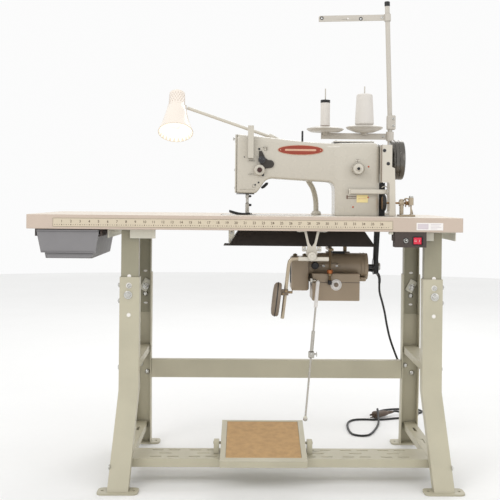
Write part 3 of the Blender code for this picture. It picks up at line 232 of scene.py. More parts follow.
def make_looks():
    """Every finish by its short name."""
    looks = {
        "stand_paint": surface(
            (184, 178, 156), 0.42, mottle=0.05, scale=12, bump=0.00005, worn=(196, 190, 172), wear=0.5,
            crevice_shade=0.25,
        ),
        # Painted shade: the stand's olive paint darkened by about a fifth, for the slides that sit in shade
        # under the rails.
        "slide_shaded_paint": surface((150, 145, 124), 0.42, crevice_shade=0.25, scale=12),
        "rail_paint": surface((214, 211, 196), 0.4, crevice_shade=0.2, scale=12),
        "head_enamel": surface(
            (197, 191, 178), 0.27, mottle=0.018, scale=7, grain=380, bump=0.00006, coat=0.35,
            corner=0.0025, rough_swing=0.04, crevice_shade=0.12,
        ),
        "cream_paint": surface((206, 200, 187), 0.36, mottle=0.03, crevice_shade=0.2, coat=0.15, corner=0.001),
        "post_paint": surface((196, 190, 180), 0.36, mottle=0.03, crevice_shade=0.2, corner=0.001),
        "motor_paint": surface(
            (160, 142, 119), 0.38, mottle=0.05, grain=600, bump=0.00008, coat=0.1, crevice_shade=0.25,
            corner=0.002,
        ),
        "pan_black": surface((33, 26, 21), 0.5, mottle=0.15, worn=(90, 84, 76), wear=0.5),
        "dark_iron": surface(
            (70, 70, 72), 0.3, 0.75, mottle=0.08, stretch=(30, 1, 1), bump=0.00002, worn=(160, 158, 154),
            wear=0.6,
        ),
        "steel": surface(
            (186, 182, 174), 0.24, 1.0, mottle=0.05, stretch=(1, 1, 0.05), bump=0.00001, crevice_shade=0.3,
        ),
        "tan_steel": surface((182, 168, 146), 0.3, 0.55, mottle=0.08, crevice_shade=0.3),
        "brass": surface((176, 140, 98), 0.32, 1.0, mottle=0.12, crevice_shade=0.4),
        "copper": surface((178, 108, 66), 0.34, 1.0, mottle=0.12, crevice_shade=0.3),
        "zinc": surface((206, 205, 200), 0.26, 0.85, mottle=0.08, crevice_shade=0.3, corner=0.0012),
        "grey_plastic": surface((128, 126, 127), 0.5, mottle=0.04, grain=1500, bump=0.00006, crevice_shade=0.3),
        "hanger_brown": surface((74, 62, 56), 0.5, mottle=0.1, crevice_shade=0.2),
        "box_black": surface((66, 55, 50), 0.5, mottle=0.16, scale=300, grain=1600, bump=0.0001),
        "jet": surface((24, 23, 24), 0.4, mottle=0.1, corner=0.001),
        "rocker_red": surface((214, 24, 60), 0.25, mottle=0.03, coat=0.4, corner=0.001),
        "rubber": surface((34, 33, 33), 0.62, mottle=0.12, grain=1200, bump=0.00005),
        "cord_rubber": surface((38, 38, 38), 0.5, mottle=0.1, grain=1800),
        "pad_grey": surface((126, 112, 97), 0.6, mottle=0.08, scale=60, grain=1100, bump=0.00012),
        "plug_brown": surface((96, 80, 66), 0.45, mottle=0.08, crevice_shade=0.2),
        "shade_white": surface((238, 228, 216), 0.28, mottle=0.02, coat=0.3, corner=0.001),
        "glow_white": surface((255, 250, 238), 0.5, mottle=0.01, glow=0.35),
        "badge_red": surface((148, 56, 34), 0.42, mottle=0.05, coat=0.1),
        "badge_rim": surface((214, 172, 146), 0.3, 0.3, mottle=0.03),
        "gold": surface((240, 222, 160), 0.35, 0.15, mottle=0.06, stretch=(8, 1, 1)),
        "label_white": surface((236, 232, 228), 0.4, mottle=0.02),
        "ink": surface((96, 78, 62), 0.6, mottle=0.05),
        "strip": surface((206, 193, 170), 0.4, mottle=0.02, grain=700),
        "tan_mat": surface((190, 156, 112), 0.8, mottle=0.1, scale=60, grain=700, bump=0.0003),
        "red_dot": surface((190, 104, 78), 0.4, 0.3, mottle=0.06),
        "bronze": surface((142, 122, 94), 0.38, 0.6, mottle=0.14, crevice_shade=0.35),
        "dark_plate": surface((66, 62, 58), 0.32, 0.5, mottle=0.1, worn=(140, 136, 128), wear=0.4),
        "dark_red": surface((66, 40, 36), 0.35, 0.2, mottle=0.1),
        "cream_shadow": surface((158, 152, 138), 0.45, mottle=0.04),
        "brown_line": surface((112, 88, 74), 0.5, mottle=0.08),
        "label_tint": surface((206, 196, 200), 0.4, mottle=0.03),
        "vent_shadow": surface((214, 200, 188), 0.5, mottle=0.03),
        "gooseneck": surface((206, 200, 184), 0.4, 0.2, mottle=0.04, crevice_shade=0.5),
        "wheel_iron": surface(
            (104, 101, 96), 0.22, 0.85, mottle=0.06, bump=0.00002,
            worn=(170, 168, 162), wear=0.5, corner=0.0012,
        ),
    }
    for name, material in looks.items():
        material.name = f"{name}_finish"
    return {**looks, "laminate": laminate_finish(), "thread": thread_finish()}


LOOKS = make_looks()


# Shapes

def outward_facing(shape):
    """The same closed shape with every face turned outward."""
    bmesh.ops.recalc_face_normals(shape, faces=shape.faces)
    if shape.calc_volume(signed=True) < 0:
        bmesh.ops.reverse_faces(shape, faces=shape.faces)
    return shape


def loft(rings, closed=False, capped=True):
    """A skin through rings of equally many points, capped at both ends or joined end to end."""
    shape = bmesh.new()
    loops = [[shape.verts.new(point) for point in ring] for ring in rings]
    pairs = list(zip(loops, loops[1:]))
    if closed:
        pairs.append((loops[-1], loops[0]))
    for lower, upper in pairs:
        for i, corner in enumerate(lower):
            j = (i + 1) % len(lower)
            shape.faces.new((corner, lower[j], upper[j], upper[i]))
    if capped and not closed:
        shape.faces.new(loops[0])
        shape.faces.new(loops[-1])
    return outward_facing(shape)


def prism(outline, axis, start, end):
    """An outline pushed along X, Y or Z; its points are (y, z), (x, z) or (x, y)."""
    place = {
        "X": lambda u, v, along: (along, u, v),
        "Y": lambda u, v, along: (u, along, v),
        "Z": lambda u, v, along: (u, v, along),
    }[axis]
    return loft([[place(u, v, along) for u, v in outline] for along in (start, end)])


def arc(centre, radius, start, end, steps):
    """Points round a centre, from one angle to another in degrees."""
    points = []
    for step in range(steps + 1):
        angle = math.radians(start + (end - start) * step / steps)
        points.append((centre[0] + radius * math.cos(angle), centre[1] + radius * math.sin(angle)))
    return points


def rounded(left, right, low, high, radius, steps=5):
    """A rectangle with round corners."""
    return (
        arc((right - radius, low + radius), radius, -90, 0, steps)
        + arc((right - radius, high - radius), radius, 0, 90, steps)
        + arc((left + radius, high - radius), radius, 90, 180, steps)
        + arc((left + radius, low + radius), radius, 180, 270, steps)
    )


def block(left, right, front, back, low, high, edge=0.0, segments=2):
    """A box between its six faces, with its edges rounded where edge is given."""
    shape = prism([(left, front), (right, front), (right, back), (left, back)], "Z", low, high)
    if edge:
        bmesh.ops.bevel(
            shape, geom=list(shape.edges), offset=edge, segments=segments, profile=0.5, affect="EDGES"
        )
    return shape


def turned(profile, centre, axis, steps=32, bored=False):
    """A profile of (radius, distance along the axis), turned; a radius of 0 closes an end."""
    shape = bmesh.new()
    turn = Matrix.Translation(Vector(centre)) @ Vector(axis).to_track_quat("Z", "Y").to_matrix().to_4x4()
    loops = []
    for radius, along in profile:
        count = steps if radius > 0 else 1
        angles = [math.tau * step / steps for step in range(count)]
        places = [Vector((radius * math.cos(a), radius * math.sin(a), along)) for a in angles]
        loops.append([shape.verts.new(turn @ place) for place in places])
    pairs = list(zip(loops, loops[1:]))
    if bored:
        pairs.append((loops[-1], loops[0]))
    for lower, upper in pairs:
        for i in range(steps):
            j = (i + 1) % steps
            below = (lower[i % len(lower)], lower[j % len(lower)])
            above = (upper[j % len(upper)], upper[i % len(upper)])
            shape.faces.new(dict.fromkeys(below + above))
    return outward_facing(shape)


def rod(start, end, radius, steps=20, edge=0.0):
    """A round bar, with its ends eased by edge."""
    start, end = Vector(start), Vector(end)
    length = (end - start).length
    profile = [(0, 0), (radius - edge, 0), (radius, edge), (radius, length - edge), (radius - edge, length)]
    if not edge:
        profile = [(0, 0), (radius, 0), (radius, length)]
    return turned([*profile, (0, length)], start, (end - start).normalized(), steps)


def smooth_path(points, steps):
    """Points along the Catmull-Rom curve through the given ones."""
    points = [Vector(point) for point in points]
    padded = [2 * points[0] - points[1], *points, 2 * points[-1] - points[-2]]
    path = []
    for a, b, c, d in zip(padded, padded[1:], padded[2:], padded[3:]):
        for step in range(steps):
            t = step / steps
            squared = (2 * a - 5 * b + 4 * c - d) * t**2
            cubed = (3 * b - a - 3 * c + d) * t**3
            path.append(0.5 * (2 * b + (c - a) * t + squared + cubed))
    return [*path, points[-1]]


def evenly_spaced(path, count):
    """The same line with this many points at equal distances."""
    lengths = [0.0]
    for before, after in zip(path, path[1:]):
        lengths.append(lengths[-1] + (after - before).length)
    spaced = []
    piece = 0
    for number in range(count):
        target = lengths[-1] * number / (count - 1)
        while piece < len(path) - 2 and lengths[piece + 1] < target:
            piece += 1
        share = (target - lengths[piece]) / (lengths[piece + 1] - lengths[piece])
        spaced.append(path[piece].lerp(path[piece + 1], share))
    return spaced


def pipe(points, radii, sides=16):
    """A round bar along a line of points, with one radius or one for each point."""
    points = [Vector(point) for point in points]
    if not isinstance(radii, (list, tuple)):
        radii = [radii] * len(points)
    ends = [points[0], *points, points[-1]]
    rings = []
    across = None
    for before, middle, after, radius in zip(ends, ends[1:], ends[2:], radii):
        along = (after - before).normalized()
        across = along.orthogonal() if across is None else across - along * across.dot(along)
        across.normalize()
        beside = along.cross(across)
        angles = [math.tau * side / sides for side in range(sides)]
        rings.append([middle + radius * (math.cos(a) * across + math.sin(a) * beside) for a in angles])
    return loft(rings)


def together(shapes):
    """Separate shapes held as one mesh."""
    whole = bmesh.new()
    for shape in shapes:
        mesh = bpy.data.meshes.new("loose")
        shape.to_mesh(mesh)
        shape.free()
        whole.from_mesh(mesh)
        bpy.data.meshes.remove(mesh)
    return whole


def moved(shape, matrix):
    """The same shape, moved, turned or stretched."""
    bmesh.ops.transform(shape, matrix=matrix, verts=shape.verts)
    return shape


def on_upper_tube(height):
    """The point of the thread stand's leaning tube at this height."""
    return Vector((POST_X, POST_Y, POST_JOINT)) + POST_LEAN * ((height - POST_JOINT) / POST_LEAN.z)


# Pieces

def in_scene(name, data):
    """A new object in the scene."""
    made = bpy.data.objects.new(name, data)
    bpy.context.scene.collection.objects.link(made)
    return made


def finished(name, shape, look, smooth=SHARP_ANGLE):
    """A shape in the table's frame, moved to the shared frame and given its finish."""
    mesh = bpy.data.meshes.new(name)
    moved(shape, Matrix.Translation((0, TABLE_SHIFT, 0))).to_mesh(mesh)
    shape.free()
    mesh.shade_smooth()
    mesh.set_sharp_from_angle(angle=math.radians(smooth))
    mesh.materials.append(LOOKS[look])
    made = in_scene(name, mesh)
    return made


def piece(name, shape, body, look, edge=0.0, segments=2, smooth=SHARP_ANGLE, stands_for=()):
    """One finished piece, from a shape in the table's frame."""
    made = finished(name, shape, look, smooth)
    if edge:
        round_edges(made, edge, segments)
    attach(made, body)
    if stands_for:
        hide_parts(*stands_for)
    return made


def round_edges(obj, width, segments):
    """A bevel along the real corners, but not between the facets of a round shape."""
    bevel = obj.modifiers.new("round_edges", "BEVEL")
    bevel.width = width
    bevel.segments = segments
    bevel.limit_method = "ANGLE"
    bevel.angle_limit = math.radians(32)
    bevel.harden_normals = True


def smoothing_group():
    """Joins a solid's loose triangles and shades it smooth except along its real corners."""
    group = bpy.data.node_groups.new("joined_and_smooth", "GeometryNodeTree")
    group.interface.new_socket("Geometry", in_out="INPUT", socket_type="NodeSocketGeometry")
    group.interface.new_socket("Geometry", in_out="OUTPUT", socket_type="NodeSocketGeometry")
    kinds = (
        "NodeGroupInput", "GeometryNodeRemoveAttribute", "GeometryNodeMergeByDistance",
        "GeometryNodeSetShadeSmooth", "GeometryNodeSetShadeSmooth", "NodeGroupOutput",
    )
    chain = [group.nodes.new(kind) for kind in kinds]
    for before, after in zip(chain, chain[1:]):
        group.links.new(before.outputs[0], after.inputs[0])
    clear, merge, edges = chain[1], chain[2], chain[4]
    clear.inputs["Name"].default_value = "custom_normal"
    merge.inputs["Distance"].default_value = MERGE_DISTANCE
    edges.domain = "EDGE"
    edges.inputs["Shade Smooth"].default_value = False
    angle = group.nodes.new("GeometryNodeInputMeshEdgeAngle")
    compare = group.nodes.new("FunctionNodeCompare")
    compare.operation = "GREATER_THAN"
    compare.inputs["B"].default_value = math.radians(SHARP_ANGLE)
    group.links.new(angle.outputs["Unsigned Angle"], compare.inputs["A"])
    group.links.new(compare.outputs["Result"], edges.inputs["Selection"])
    return group


SMOOTHING = smoothing_group()


def dress(node, look, edge, segments):
    """A finish and soft edges for one solid that stays."""
    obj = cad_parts[node]
    for slot in obj.material_slots:
        slot.material = LOOKS[look]
    smooth = obj.modifiers.new("joined_and_smooth", "NODES")
    smooth.node_group = SMOOTHING
    if edge:
        round_edges(obj, edge, segments)


DRESSED = [  # finish, width and segments of the rounded edges, nodes
    ("laminate", 0.0025, 3, "table_top"),
    ("pan_black", 0.0006, 1, "drip_pan"),
    ("hanger_brown", 0.0006, 1, "drawer_hanger"),
    ("box_black", 0.0012, 2, "switch_box"),
    ("rocker_red", 0.0006, 2, "switch_rocker"),
    ("motor_paint", 0.0015, 2, "motor_housing"),
    ("motor_paint", 0.0, 0, "motor_control_box"),
    ("bronze", 0.0006, 1, "motor_bracket"),
    ("dark_iron", 0.0005, 1, "motor_pulley"),
    ("steel", 0.0006, 1, "motor_lever"),
    ("stand_paint", 0.0008, 2, "pedal left_pedal_bracket right_pedal_bracket"),
    ("steel", 0.0, 0, "pitman_rod needle_bar"),
    ("cream_paint", 0.0015, 2, "knee_hanger"),
    ("tan_steel", 0.0, 0, "knee_rod"),
    ("pad_grey", 0.0015, 2, "knee_pad"),
    ("head_enamel", 0.001, 2, "bed_plate"),
    ("head_enamel", 0.0, 0, "face_plate"),
    ("head_enamel", 0.0008, 2, "take_up_guard"),
    ("cream_paint", 0.0006, 1, "belt_guard"),
    ("steel", 0.0004, 1, "main_shaft presser_bar hook take_up_lever"),
    ("cream_paint", 0.0008, 2, "stitch_dial"),
    ("cream_paint", 0.0006, 2, "tension_knob"),
    ("cream_paint", 0.0, 0, "reverse_lever lamp_arm"),
    ("post_paint", 0.0, 0, "thread_post"),
    ("post_paint", 0.0005, 1, "spool_arm guide_arm"),
    ("brass", 0.0004, 1, "winder_wheel"),
    ("tan_steel", 0.0006, 1, "winder_base"),
    ("grey_plastic", 0.001, 2, "drawer"),
    ("stand_paint", 0.0012, 2, "crossbar"),
    ("stand_paint", 0.001, 2, "foot_rail left_upper_brace "
     "left_lower_brace right_upper_brace right_lower_brace"),
    ("shade_white", 0.0008, 2, "lamp_shade"),
    ("plug_brown", 0.0008, 2, "power_plug"),
    ("stand_paint", 0.0, 0, "left_front_leg left_back_leg right_front_leg right_back_leg"),
    ("slide_shaded_paint", 0.001, 2, "left_front_slide left_back_slide right_front_slide right_back_slide"),
    ("rail_paint", 0.001, 2, "left_top_rail right_top_rail"),
]


# Camera and light

def make_camera():
    """The camera, level, in front of the table's middle and a little above its top."""
    data = bpy.data.cameras.new("camera")
    data.sensor_width = 36
    data.lens = 66.57
    data.shift_x = -0.0389
    data.shift_y = -0.1059
    camera = in_scene("camera", data)
    yaw, roll = math.radians(1.408), math.radians(0.598)
    forward = Vector((math.sin(yaw), math.cos(yaw), 0))
    right = Vector((math.cos(yaw), -math.sin(yaw), 0))
    level = math.cos(roll) * right + math.sin(roll) * Z
    up = level.cross(forward)
    turn = Matrix((level, up, -forward)).transposed()
    camera.matrix_world = Matrix.Translation((0.0012, -2.7756, 0.799)) @ turn.to_4x4()
    bpy.context.scene.camera = camera


def make_light(name, place, target, size, power):
    """A round soft light that faces a target."""
    data = bpy.data.lights.new(name, "AREA")
    data.shape = "DISK"
    data.size = size
    data.energy = power
    light = in_scene(name, data)
    place, target = Vector(place), Vector(target)
    turn = (place - target).to_track_quat("Z", "Y").to_matrix().to_4x4()
    light.matrix_world = Matrix.Translation(place) @ turn


def make_studio():
    """A white world, three soft lights and a round pale floor."""
    world = bpy.data.worlds.new("studio")
    world.use_nodes = True
    world.node_tree.nodes["Background"].inputs["Color"].default_value = (1.0, 1.0, 1.0, 1)
    world.node_tree.nodes["Background"].inputs["Strength"].default_value = 0.97
    bpy.context.scene.world = world
    bpy.context.scene.view_settings.view_transform = "Standard"
    make_light("key", (-2.4, -3.0, 3.2), (0, 0, 0.8), 2.2, 40)
    make_light("fill", (2.8, -2.6, 1.8), (0, 0, 0.8), 2.4, 12)
    make_light("rim", (0.8, 2.6, 3.0), (0, 0, 0.9), 2.0, 25)
    floor = bpy.data.meshes.new("studio_floor")
    ring = [(7 * math.cos(math.tau * n / 48), 7 * math.sin(math.tau * n / 48), 0) for n in range(48)]
    floor.from_pydata(ring, [], [range(48)])
    ground = in_scene("studio_floor", floor)
    floor.materials.append(surface((240, 240, 239), 0.7, mottle=0.01, scale=2, grain=40))


# Power lead

def cord_route():
    """The lead from the motor, down behind the right leg, and in one open loop back to its plug."""
    floor = FLOOR_CORD
    plug_end = PLUG_FACE + PLUG_AXIS * PLUG_END
    return [
        (0.3908, 0.118, 0.57), (0.399, 0.118, 0.5698), (0.4092, 0.118, 0.5674),
        (0.4196, 0.119, 0.5604), (0.4266, 0.121, 0.5502), (0.4292, 0.1235, 0.538),
        (0.429, 0.127, 0.52), (0.431, 0.131, 0.496), (0.4406, 0.14, 0.4653),
        (0.4505, 0.148, 0.4295), (0.459, 0.156, 0.389), (0.473, 0.17, 0.339),
        (0.499, 0.185, 0.274), (0.53, 0.199, 0.208), (0.559, 0.228, 0.148),
        (0.584, 0.295, 0.096), (0.605, 0.38, 0.056), (0.615, 0.45, 0.026),
        (0.608, 0.496, 0.009), (0.58, 0.513, floor), (0.543, 0.503, floor),
        (0.505, 0.488, floor), (0.464, 0.483, floor), (0.425, 0.486, floor),
        (0.394, 0.478, floor), (0.372, 0.448, floor), (0.361, 0.395, floor),
        (0.359, 0.34, floor), (0.3605, 0.305, floor), (0.368, 0.274, floor),
        (0.391, 0.258, floor), (0.416, 0.265, floor), (0.433, 0.293, floor),
        (0.448, 0.333, floor), (0.464, 0.385, floor), (0.476, 0.435, 0.0062),
        (0.4815, 0.48, 0.0168), (0.485, 0.524, 0.0312), (0.49, 0.564, 0.02),
        (0.501, 0.602, 0.0062), (0.524, 0.632, floor), (0.562, 0.648, floor),
        (0.601, 0.651, floor), (0.63, 0.651, floor), (0.654, 0.641, floor),
        (0.664, 0.6165, floor), (0.654, 0.5925, floor), (0.63, 0.582, floor),
        (0.601, 0.5785, 0.0045),
        plug_end + PLUG_AXIS * 0.018, plug_end,
    ]


def make_plug_ribs():
    """The ribs of the plug's strain relief."""
    ribs = [ring_shape(PLUG_FACE + PLUG_AXIS * along, PLUG_AXIS, radius, 0.0007, 24, 8) for along, radius in (
        (0.068, 0.0053), (0.0715, 0.005), (0.075, 0.0048), (0.0785, 0.0046), (0.082, 0.0044),
    )]
    return piece("plug_relief_ribs", together(ribs), "stand", "plug_brown")


def make_power_lead():
    """The lead as a curve along its route, with its strain relief."""
    points = evenly_spaced(smooth_path(cord_route(), 12), 320)
    curve = bpy.data.curves.new("power_lead", "CURVE")
    curve.dimensions = "3D"
    curve.bevel_depth = CORD_RADIUS
    curve.bevel_resolution = 4
    curve.use_fill_caps = True
    spline = curve.splines.new("POLY")
    spline.points.add(len(points) - 1)
    for point, place in zip(spline.points, points):
        point.co = (place.x, place.y + TABLE_SHIFT, place.z, 1)
    curve.materials.append(LOOKS["cord_rubber"])
    cord = in_scene("power_lead", curve)
    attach(cord, "stand")
    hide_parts("power_cord")
    relief_line = evenly_spaced(points[:12], 10)
    radii = [0.0062 - 0.0022 * step / 9 for step in range(10)]
    relief = piece("cord_relief", pipe(relief_line, radii, 16), "stand", "cord_rubber")
    ribs = make_plug_ribs()


# Belt

def make_belt():
    """The V-belt, from the handwheel's groove down round the motor's pulley."""
    upper, lower = Vector((WHEEL_Y, WHEEL_Z)), Vector((MOTOR_Y, MOTOR_Z))
    between = lower - upper
    heading = math.degrees(math.atan2(between.y, between.x))
    lean = math.degrees(math.acos((0.0385 - 0.018) / between.length))
    stations = []
    for centre, radius, start, end, steps in (
        (upper, 0.0385, heading + lean, heading + 360 - lean, 40),
        (lower, 0.018, heading - lean, heading + lean, 24),
    ):
        outside = arc(centre, radius + 0.0066, start, end, steps)
        stations += zip(arc(centre, radius, start, end, steps), outside)
    spread = []
    for (inner, outer), (next_inner, next_outer) in zip(stations, stations[1:] + stations[:1]):
        gap = math.hypot(next_outer[0] - outer[0], next_outer[1] - outer[1])
        count = max(1, round(gap / 0.012))
        for step in range(count):
            share = step / count
            spread.append([
                tuple(a + (b - a) * share for a, b in zip(*pair))
                for pair in ((inner, next_inner), (outer, next_outer))
            ])
    rings = []
    for inside, outside in spread:
        middle = [a + (b - a) * 0.86 for a, b in zip(inside, outside)]
        rings.append([
            (BELT_X - 0.003, *inside), (BELT_X + 0.003, *inside), (BELT_X + 0.0049, *middle),
            (BELT_X + 0.0042, *outside), (BELT_X - 0.0042, *outside), (BELT_X - 0.0049, *middle),
        ])
    belt = finished("belt", loft(rings, closed=True), "rubber")
    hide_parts("drive_belt")
    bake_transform(belt)


# Small fittings

def frame_at(place, axis):
    """A frame at a place, with its Z along an axis."""
    return Matrix.Translation(Vector(place)) @ Vector(axis).to_track_quat("Z", "Y").to_matrix().to_4x4()


def screws(name, places, axis, radius, body, look="zinc", height=0.0018):
    """Domed screw heads with a dark slot each."""
    heads, slots = [], []
    dome = [(0, -0.001), (radius, -0.001), (radius, height * 0.5), (radius * 0.75, height * 0.9), (0, height)]
    for number, place in enumerate(places):
        at = frame_at(place, axis)
        heads.append(moved(turned(dome, (0, 0, 0), Z, 28), at))
        # Painted shade: a black bar stands for the shade inside each head's slot.
        long, half = radius * 0.8, radius * 0.13
        bar = block(-long, long, -half, half, height * 0.5, height * 1.02)
        slots.append(moved(bar, at @ Matrix.Rotation(0.7 + 1.9 * number, 4, "Z")))
    piece(name, together(heads), body, look)
    piece(f"{name}_slots", together(slots), body, "jet")


def hex_bolt(place, axis, radius, height):
    """A hex head on a washer, with the thread's end showing in its middle."""
    wide = radius * 1.5
    washer = [(0, -0.001), (wide, -0.001), (wide, 0.0014), (radius * 1.4, 0.0018), (0, 0.0018)]
    head = [(0, 0.0015), (radius, 0.0015), (radius, height * 0.86), (radius * 0.88, height), (0, height)]
    low, high = height - 0.001, height + 0.0015
    stud = [(0, low), (radius * 0.45, low), (radius * 0.4, high), (0, high)]
    at = frame_at(place, axis)
    return [
        moved(turned(line, (0, 0, 0), Z, sides), at)
        for line, sides in ((washer, 30), (head, 6), (stud, 18))
    ]


def button(place, axis, radius, height):
    """A plain domed rivet or carriage-bolt head."""
    dome = [(0, -0.001), (radius, -0.001), (radius, height * 0.35), (radius * 0.8, height * 0.75)]
    dome += [(radius * 0.4, height), (0, height)]
    return moved(turned(dome, (0, 0, 0), Z, 26), frame_at(place, axis))


def ring_shape(centre, axis, radius, thickness, steps=30, sides=10):
    """A plain round wire bent into a ring."""
    at = frame_at(centre, axis)
    rings = []
    for step in range(steps):
        angle = math.tau * step / steps
        out = Vector((math.cos(angle), math.sin(angle), 0))
        section = [math.tau * side / sides for side in range(sides)]
        rings.append([
            at @ (out * (radius + thickness * math.cos(a)) + Z * (thickness * math.sin(a))) for a in section
        ])
    return loft(rings, closed=True)


# Table

def make_ruler():
    """A printed ruler along the front edge, with a mark at every quarter of an inch."""
    front = TABLE_FRONT
    left, right, low, high = -0.5357, 0.411, 0.7106, 0.7361
    strip = prism(rounded(left, right, low, high, 0.001, 2), "Y", front - 0.0006, front + 0.0002)
    piece("ruler_strip", strip, "stand", "strip")
    ink_front, ink_back = front - 0.0008, front - 0.0004
    marks = []
    edge, line = 0.0012, 0.0007
    for z in (low + edge, high - edge):
        marks.append(block(left + edge, right - edge, ink_front, ink_back, z - line / 2, z + line / 2))
    for x in (left + edge, right - edge):
        marks.append(block(x - line / 2, x + line / 2, ink_front, ink_back, low + edge, high - edge))
    for number in range(1, 37 * 4):
        x = left + INCH * number / 4
        if x > right - 0.004:
            break
        inch, half_inch = number % 4 == 0, number % 2 == 0
        tall = 0.003 if inch else 0.0022 if half_inch else 0.0016
        wide = 0.0012 if inch else 0.0009
        middle = low + 0.0065
        marks.append(block(x - wide, x + wide, ink_front, ink_back, middle - tall / 2, middle + tall / 2))
    piece("ruler_marks", together(marks), "stand", "ink")
    numbers = [digits(n, left + INCH * n, 0.7232) for n in range(1, 37)]
    piece("ruler_numbers", together(numbers), "stand", "ink")


def digits(number, x, z):
    """A number as a thin raised mesh on the table's front edge."""
    text = bpy.data.curves.new("digits", "FONT")
    text.body = str(number)
    text.size = 0.0098
    text.align_x = "CENTER"
    text.extrude = 0.0002
    text.offset = 0.00012
    holder = bpy.data.objects.new("digits", text)
    mesh = bpy.data.meshes.new_from_object(holder)
    shape = bmesh.new()
    shape.from_mesh(mesh)
    bpy.data.objects.remove(holder)
    bpy.data.curves.remove(text)
    bpy.data.meshes.remove(mesh)
    turn = Matrix.Translation((x, TABLE_FRONT - 0.0006, z)) @ Matrix.Rotation(math.pi / 2, 4, "X")
    return moved(shape, turn)


def make_table_fittings():
    """The ruler, the blank label on the edge and the painted shade in the gap round the bed."""
    make_ruler()
    face = TABLE_FRONT
    label = prism(rounded(0.4765, 0.5515, 0.7105, 0.7312, 0.001, 2), "Y", face - 0.0006, face + 0.0002)
    piece("edge_label", label, "stand", "label_white")
    lines = [block(0.517, 0.517 + w, face - 0.0008, face - 0.0004, z, z + 0.0012)
             for z, w in ((0.7262, 0.028), (0.7222, 0.024), (0.7182, 0.029), (0.7142, 0.018))]
    lines.append(block(0.48, 0.51, face - 0.0008, face - 0.0004, 0.7135, 0.7282))
    piece("edge_label_panel", together(lines), "stand", "label_tint")
    # Painted shade: thin dark strips in the gap between the bed and the table.
    gap_shade_lines = together([
        block(-0.0752, 0.4012, y - 0.0006, y + 0.0006, 0.74, 0.7452) for y in (-0.0897, 0.0897)
    ] + [block(x - 0.0006, x + 0.0006, -0.0897, 0.0897, 0.74, 0.7452) for x in (-0.0748,)])
    piece("bed_gap_shade", gap_shade_lines, "stand", "ink")


# Stand

def make_stand_fittings():
    """Bolts, rivets and clamp plates of the legs, and white discs that paint the light showing through their
    holes.
    """
    heads, buttons, glints, plates = [], [], [], []
    for side, upper, big, dimple, notch in (
        ("left", (-0.3285, 0.5443), (-0.331, 0.5183), (-0.3287, 0.4618), (-0.3284, 0.5693)),
        ("right", (0.5385, 0.5433), (0.5394, 0.519), (0.5371, 0.4639), (0.5371, 0.5693)),
    ):
        front = FRONT_WEB
        heads += hex_bolt((upper[0], front, upper[1]), -Y, 0.0046, 0.0042)
        heads += hex_bolt((big[0], front, big[1]), -Y, 0.0078, 0.0062)
        # Painted light: the white discs kept in glints stand for light seen through the legs' holes.
        glints.append(button((upper[0] - 0.0005, front, upper[1] + 0.0005), -Y, 0.0082, 0.0004))
        glints.append(button((dimple[0], front, dimple[1]), -Y, 0.0052, 0.0005))
        plates.append(ring_shape((dimple[0], front - 0.0002, dimple[1]), Y, 0.0058, 0.0009))
        glints.append(button((notch[0], front + 0.0033, notch[1] + 0.0015), -Y, 0.0056, 0.0005))
        side_web = LEG_PLACES[side] + OUTWARD[side] * 0.028
        for y, z in ((-0.19, 0.545), (-0.19, 0.5)):
            heads += hex_bolt((side_web, y, z), OUTWARD[side] * X, 0.007, 0.0056)
    back = BACK_WEB - 0.0058
    for clamp, bolt, hole, notch in (
        ((-0.3214, 0.5126), (-0.3218, 0.4842), (-0.3208, 0.4546), (-0.3225, 0.5575)),
        ((0.5379, 0.515), (0.536, 0.4835), (0.5363, 0.4549), (0.5368, 0.5575)),
    ):
        tilt = Matrix.Translation((clamp[0], back, clamp[1])) @ Matrix.Rotation(math.radians(28), 4, "Y")
        plates.append(moved(block(-0.0125, 0.0125, -0.004, 0.0005, -0.02, 0.02, 0.0012), tilt))
        heads += hex_bolt((clamp[0] + 0.001, back - 0.004, clamp[1] - 0.004), -Y, 0.007, 0.005)
        buttons.append(button((bolt[0], back, bolt[1]), -Y, 0.0078, 0.0042))
        for x, z in (hole, notch):
            flat = Matrix.Diagonal((1.5, 1, 0.8, 1))
            dot = moved(button((0, 0, 0), -Y, 0.0042, 0.0006), flat)
            glints.append(moved(dot, Matrix.Translation((x, back, z))))
    for x, z in ((-0.3345, 0.2575), (-0.313, 0.2326), (0.521, 0.2572), (0.5435, 0.2335)):
        buttons.append(button((x, BACK_WEB - 0.003, z), -Y, 0.0078, 0.004))
    for side, centre in LEG_PLACES.items():
        for y in (-0.15, 0.12):
            heads += hex_bolt((centre - OUTWARD[side] * 0.02, y, 0.683), -OUTWARD[side] * X, 0.005, 0.004)
        for y, z in ((-0.195, 0.312), (0.155, 0.312), (-0.31, 0.062), (0.184, 0.062)):
            shift = 0.0287 if y > -0.2 else 0.0287 + 0.0075
            buttons.append(button((centre + OUTWARD[side] * shift, y, z), OUTWARD[side] * X, 0.007, 0.0036))
    piece("stand_bolts", together(heads), "stand", "zinc")
    piece("stand_button_heads", together(buttons), "stand", "zinc")
    piece("leg_clamp_plates", together(plates), "stand", "rail_paint")
    piece("leg_holes_painted_light", together(glints), "stand", "label_white")


# Drawer, switch box and drip pan

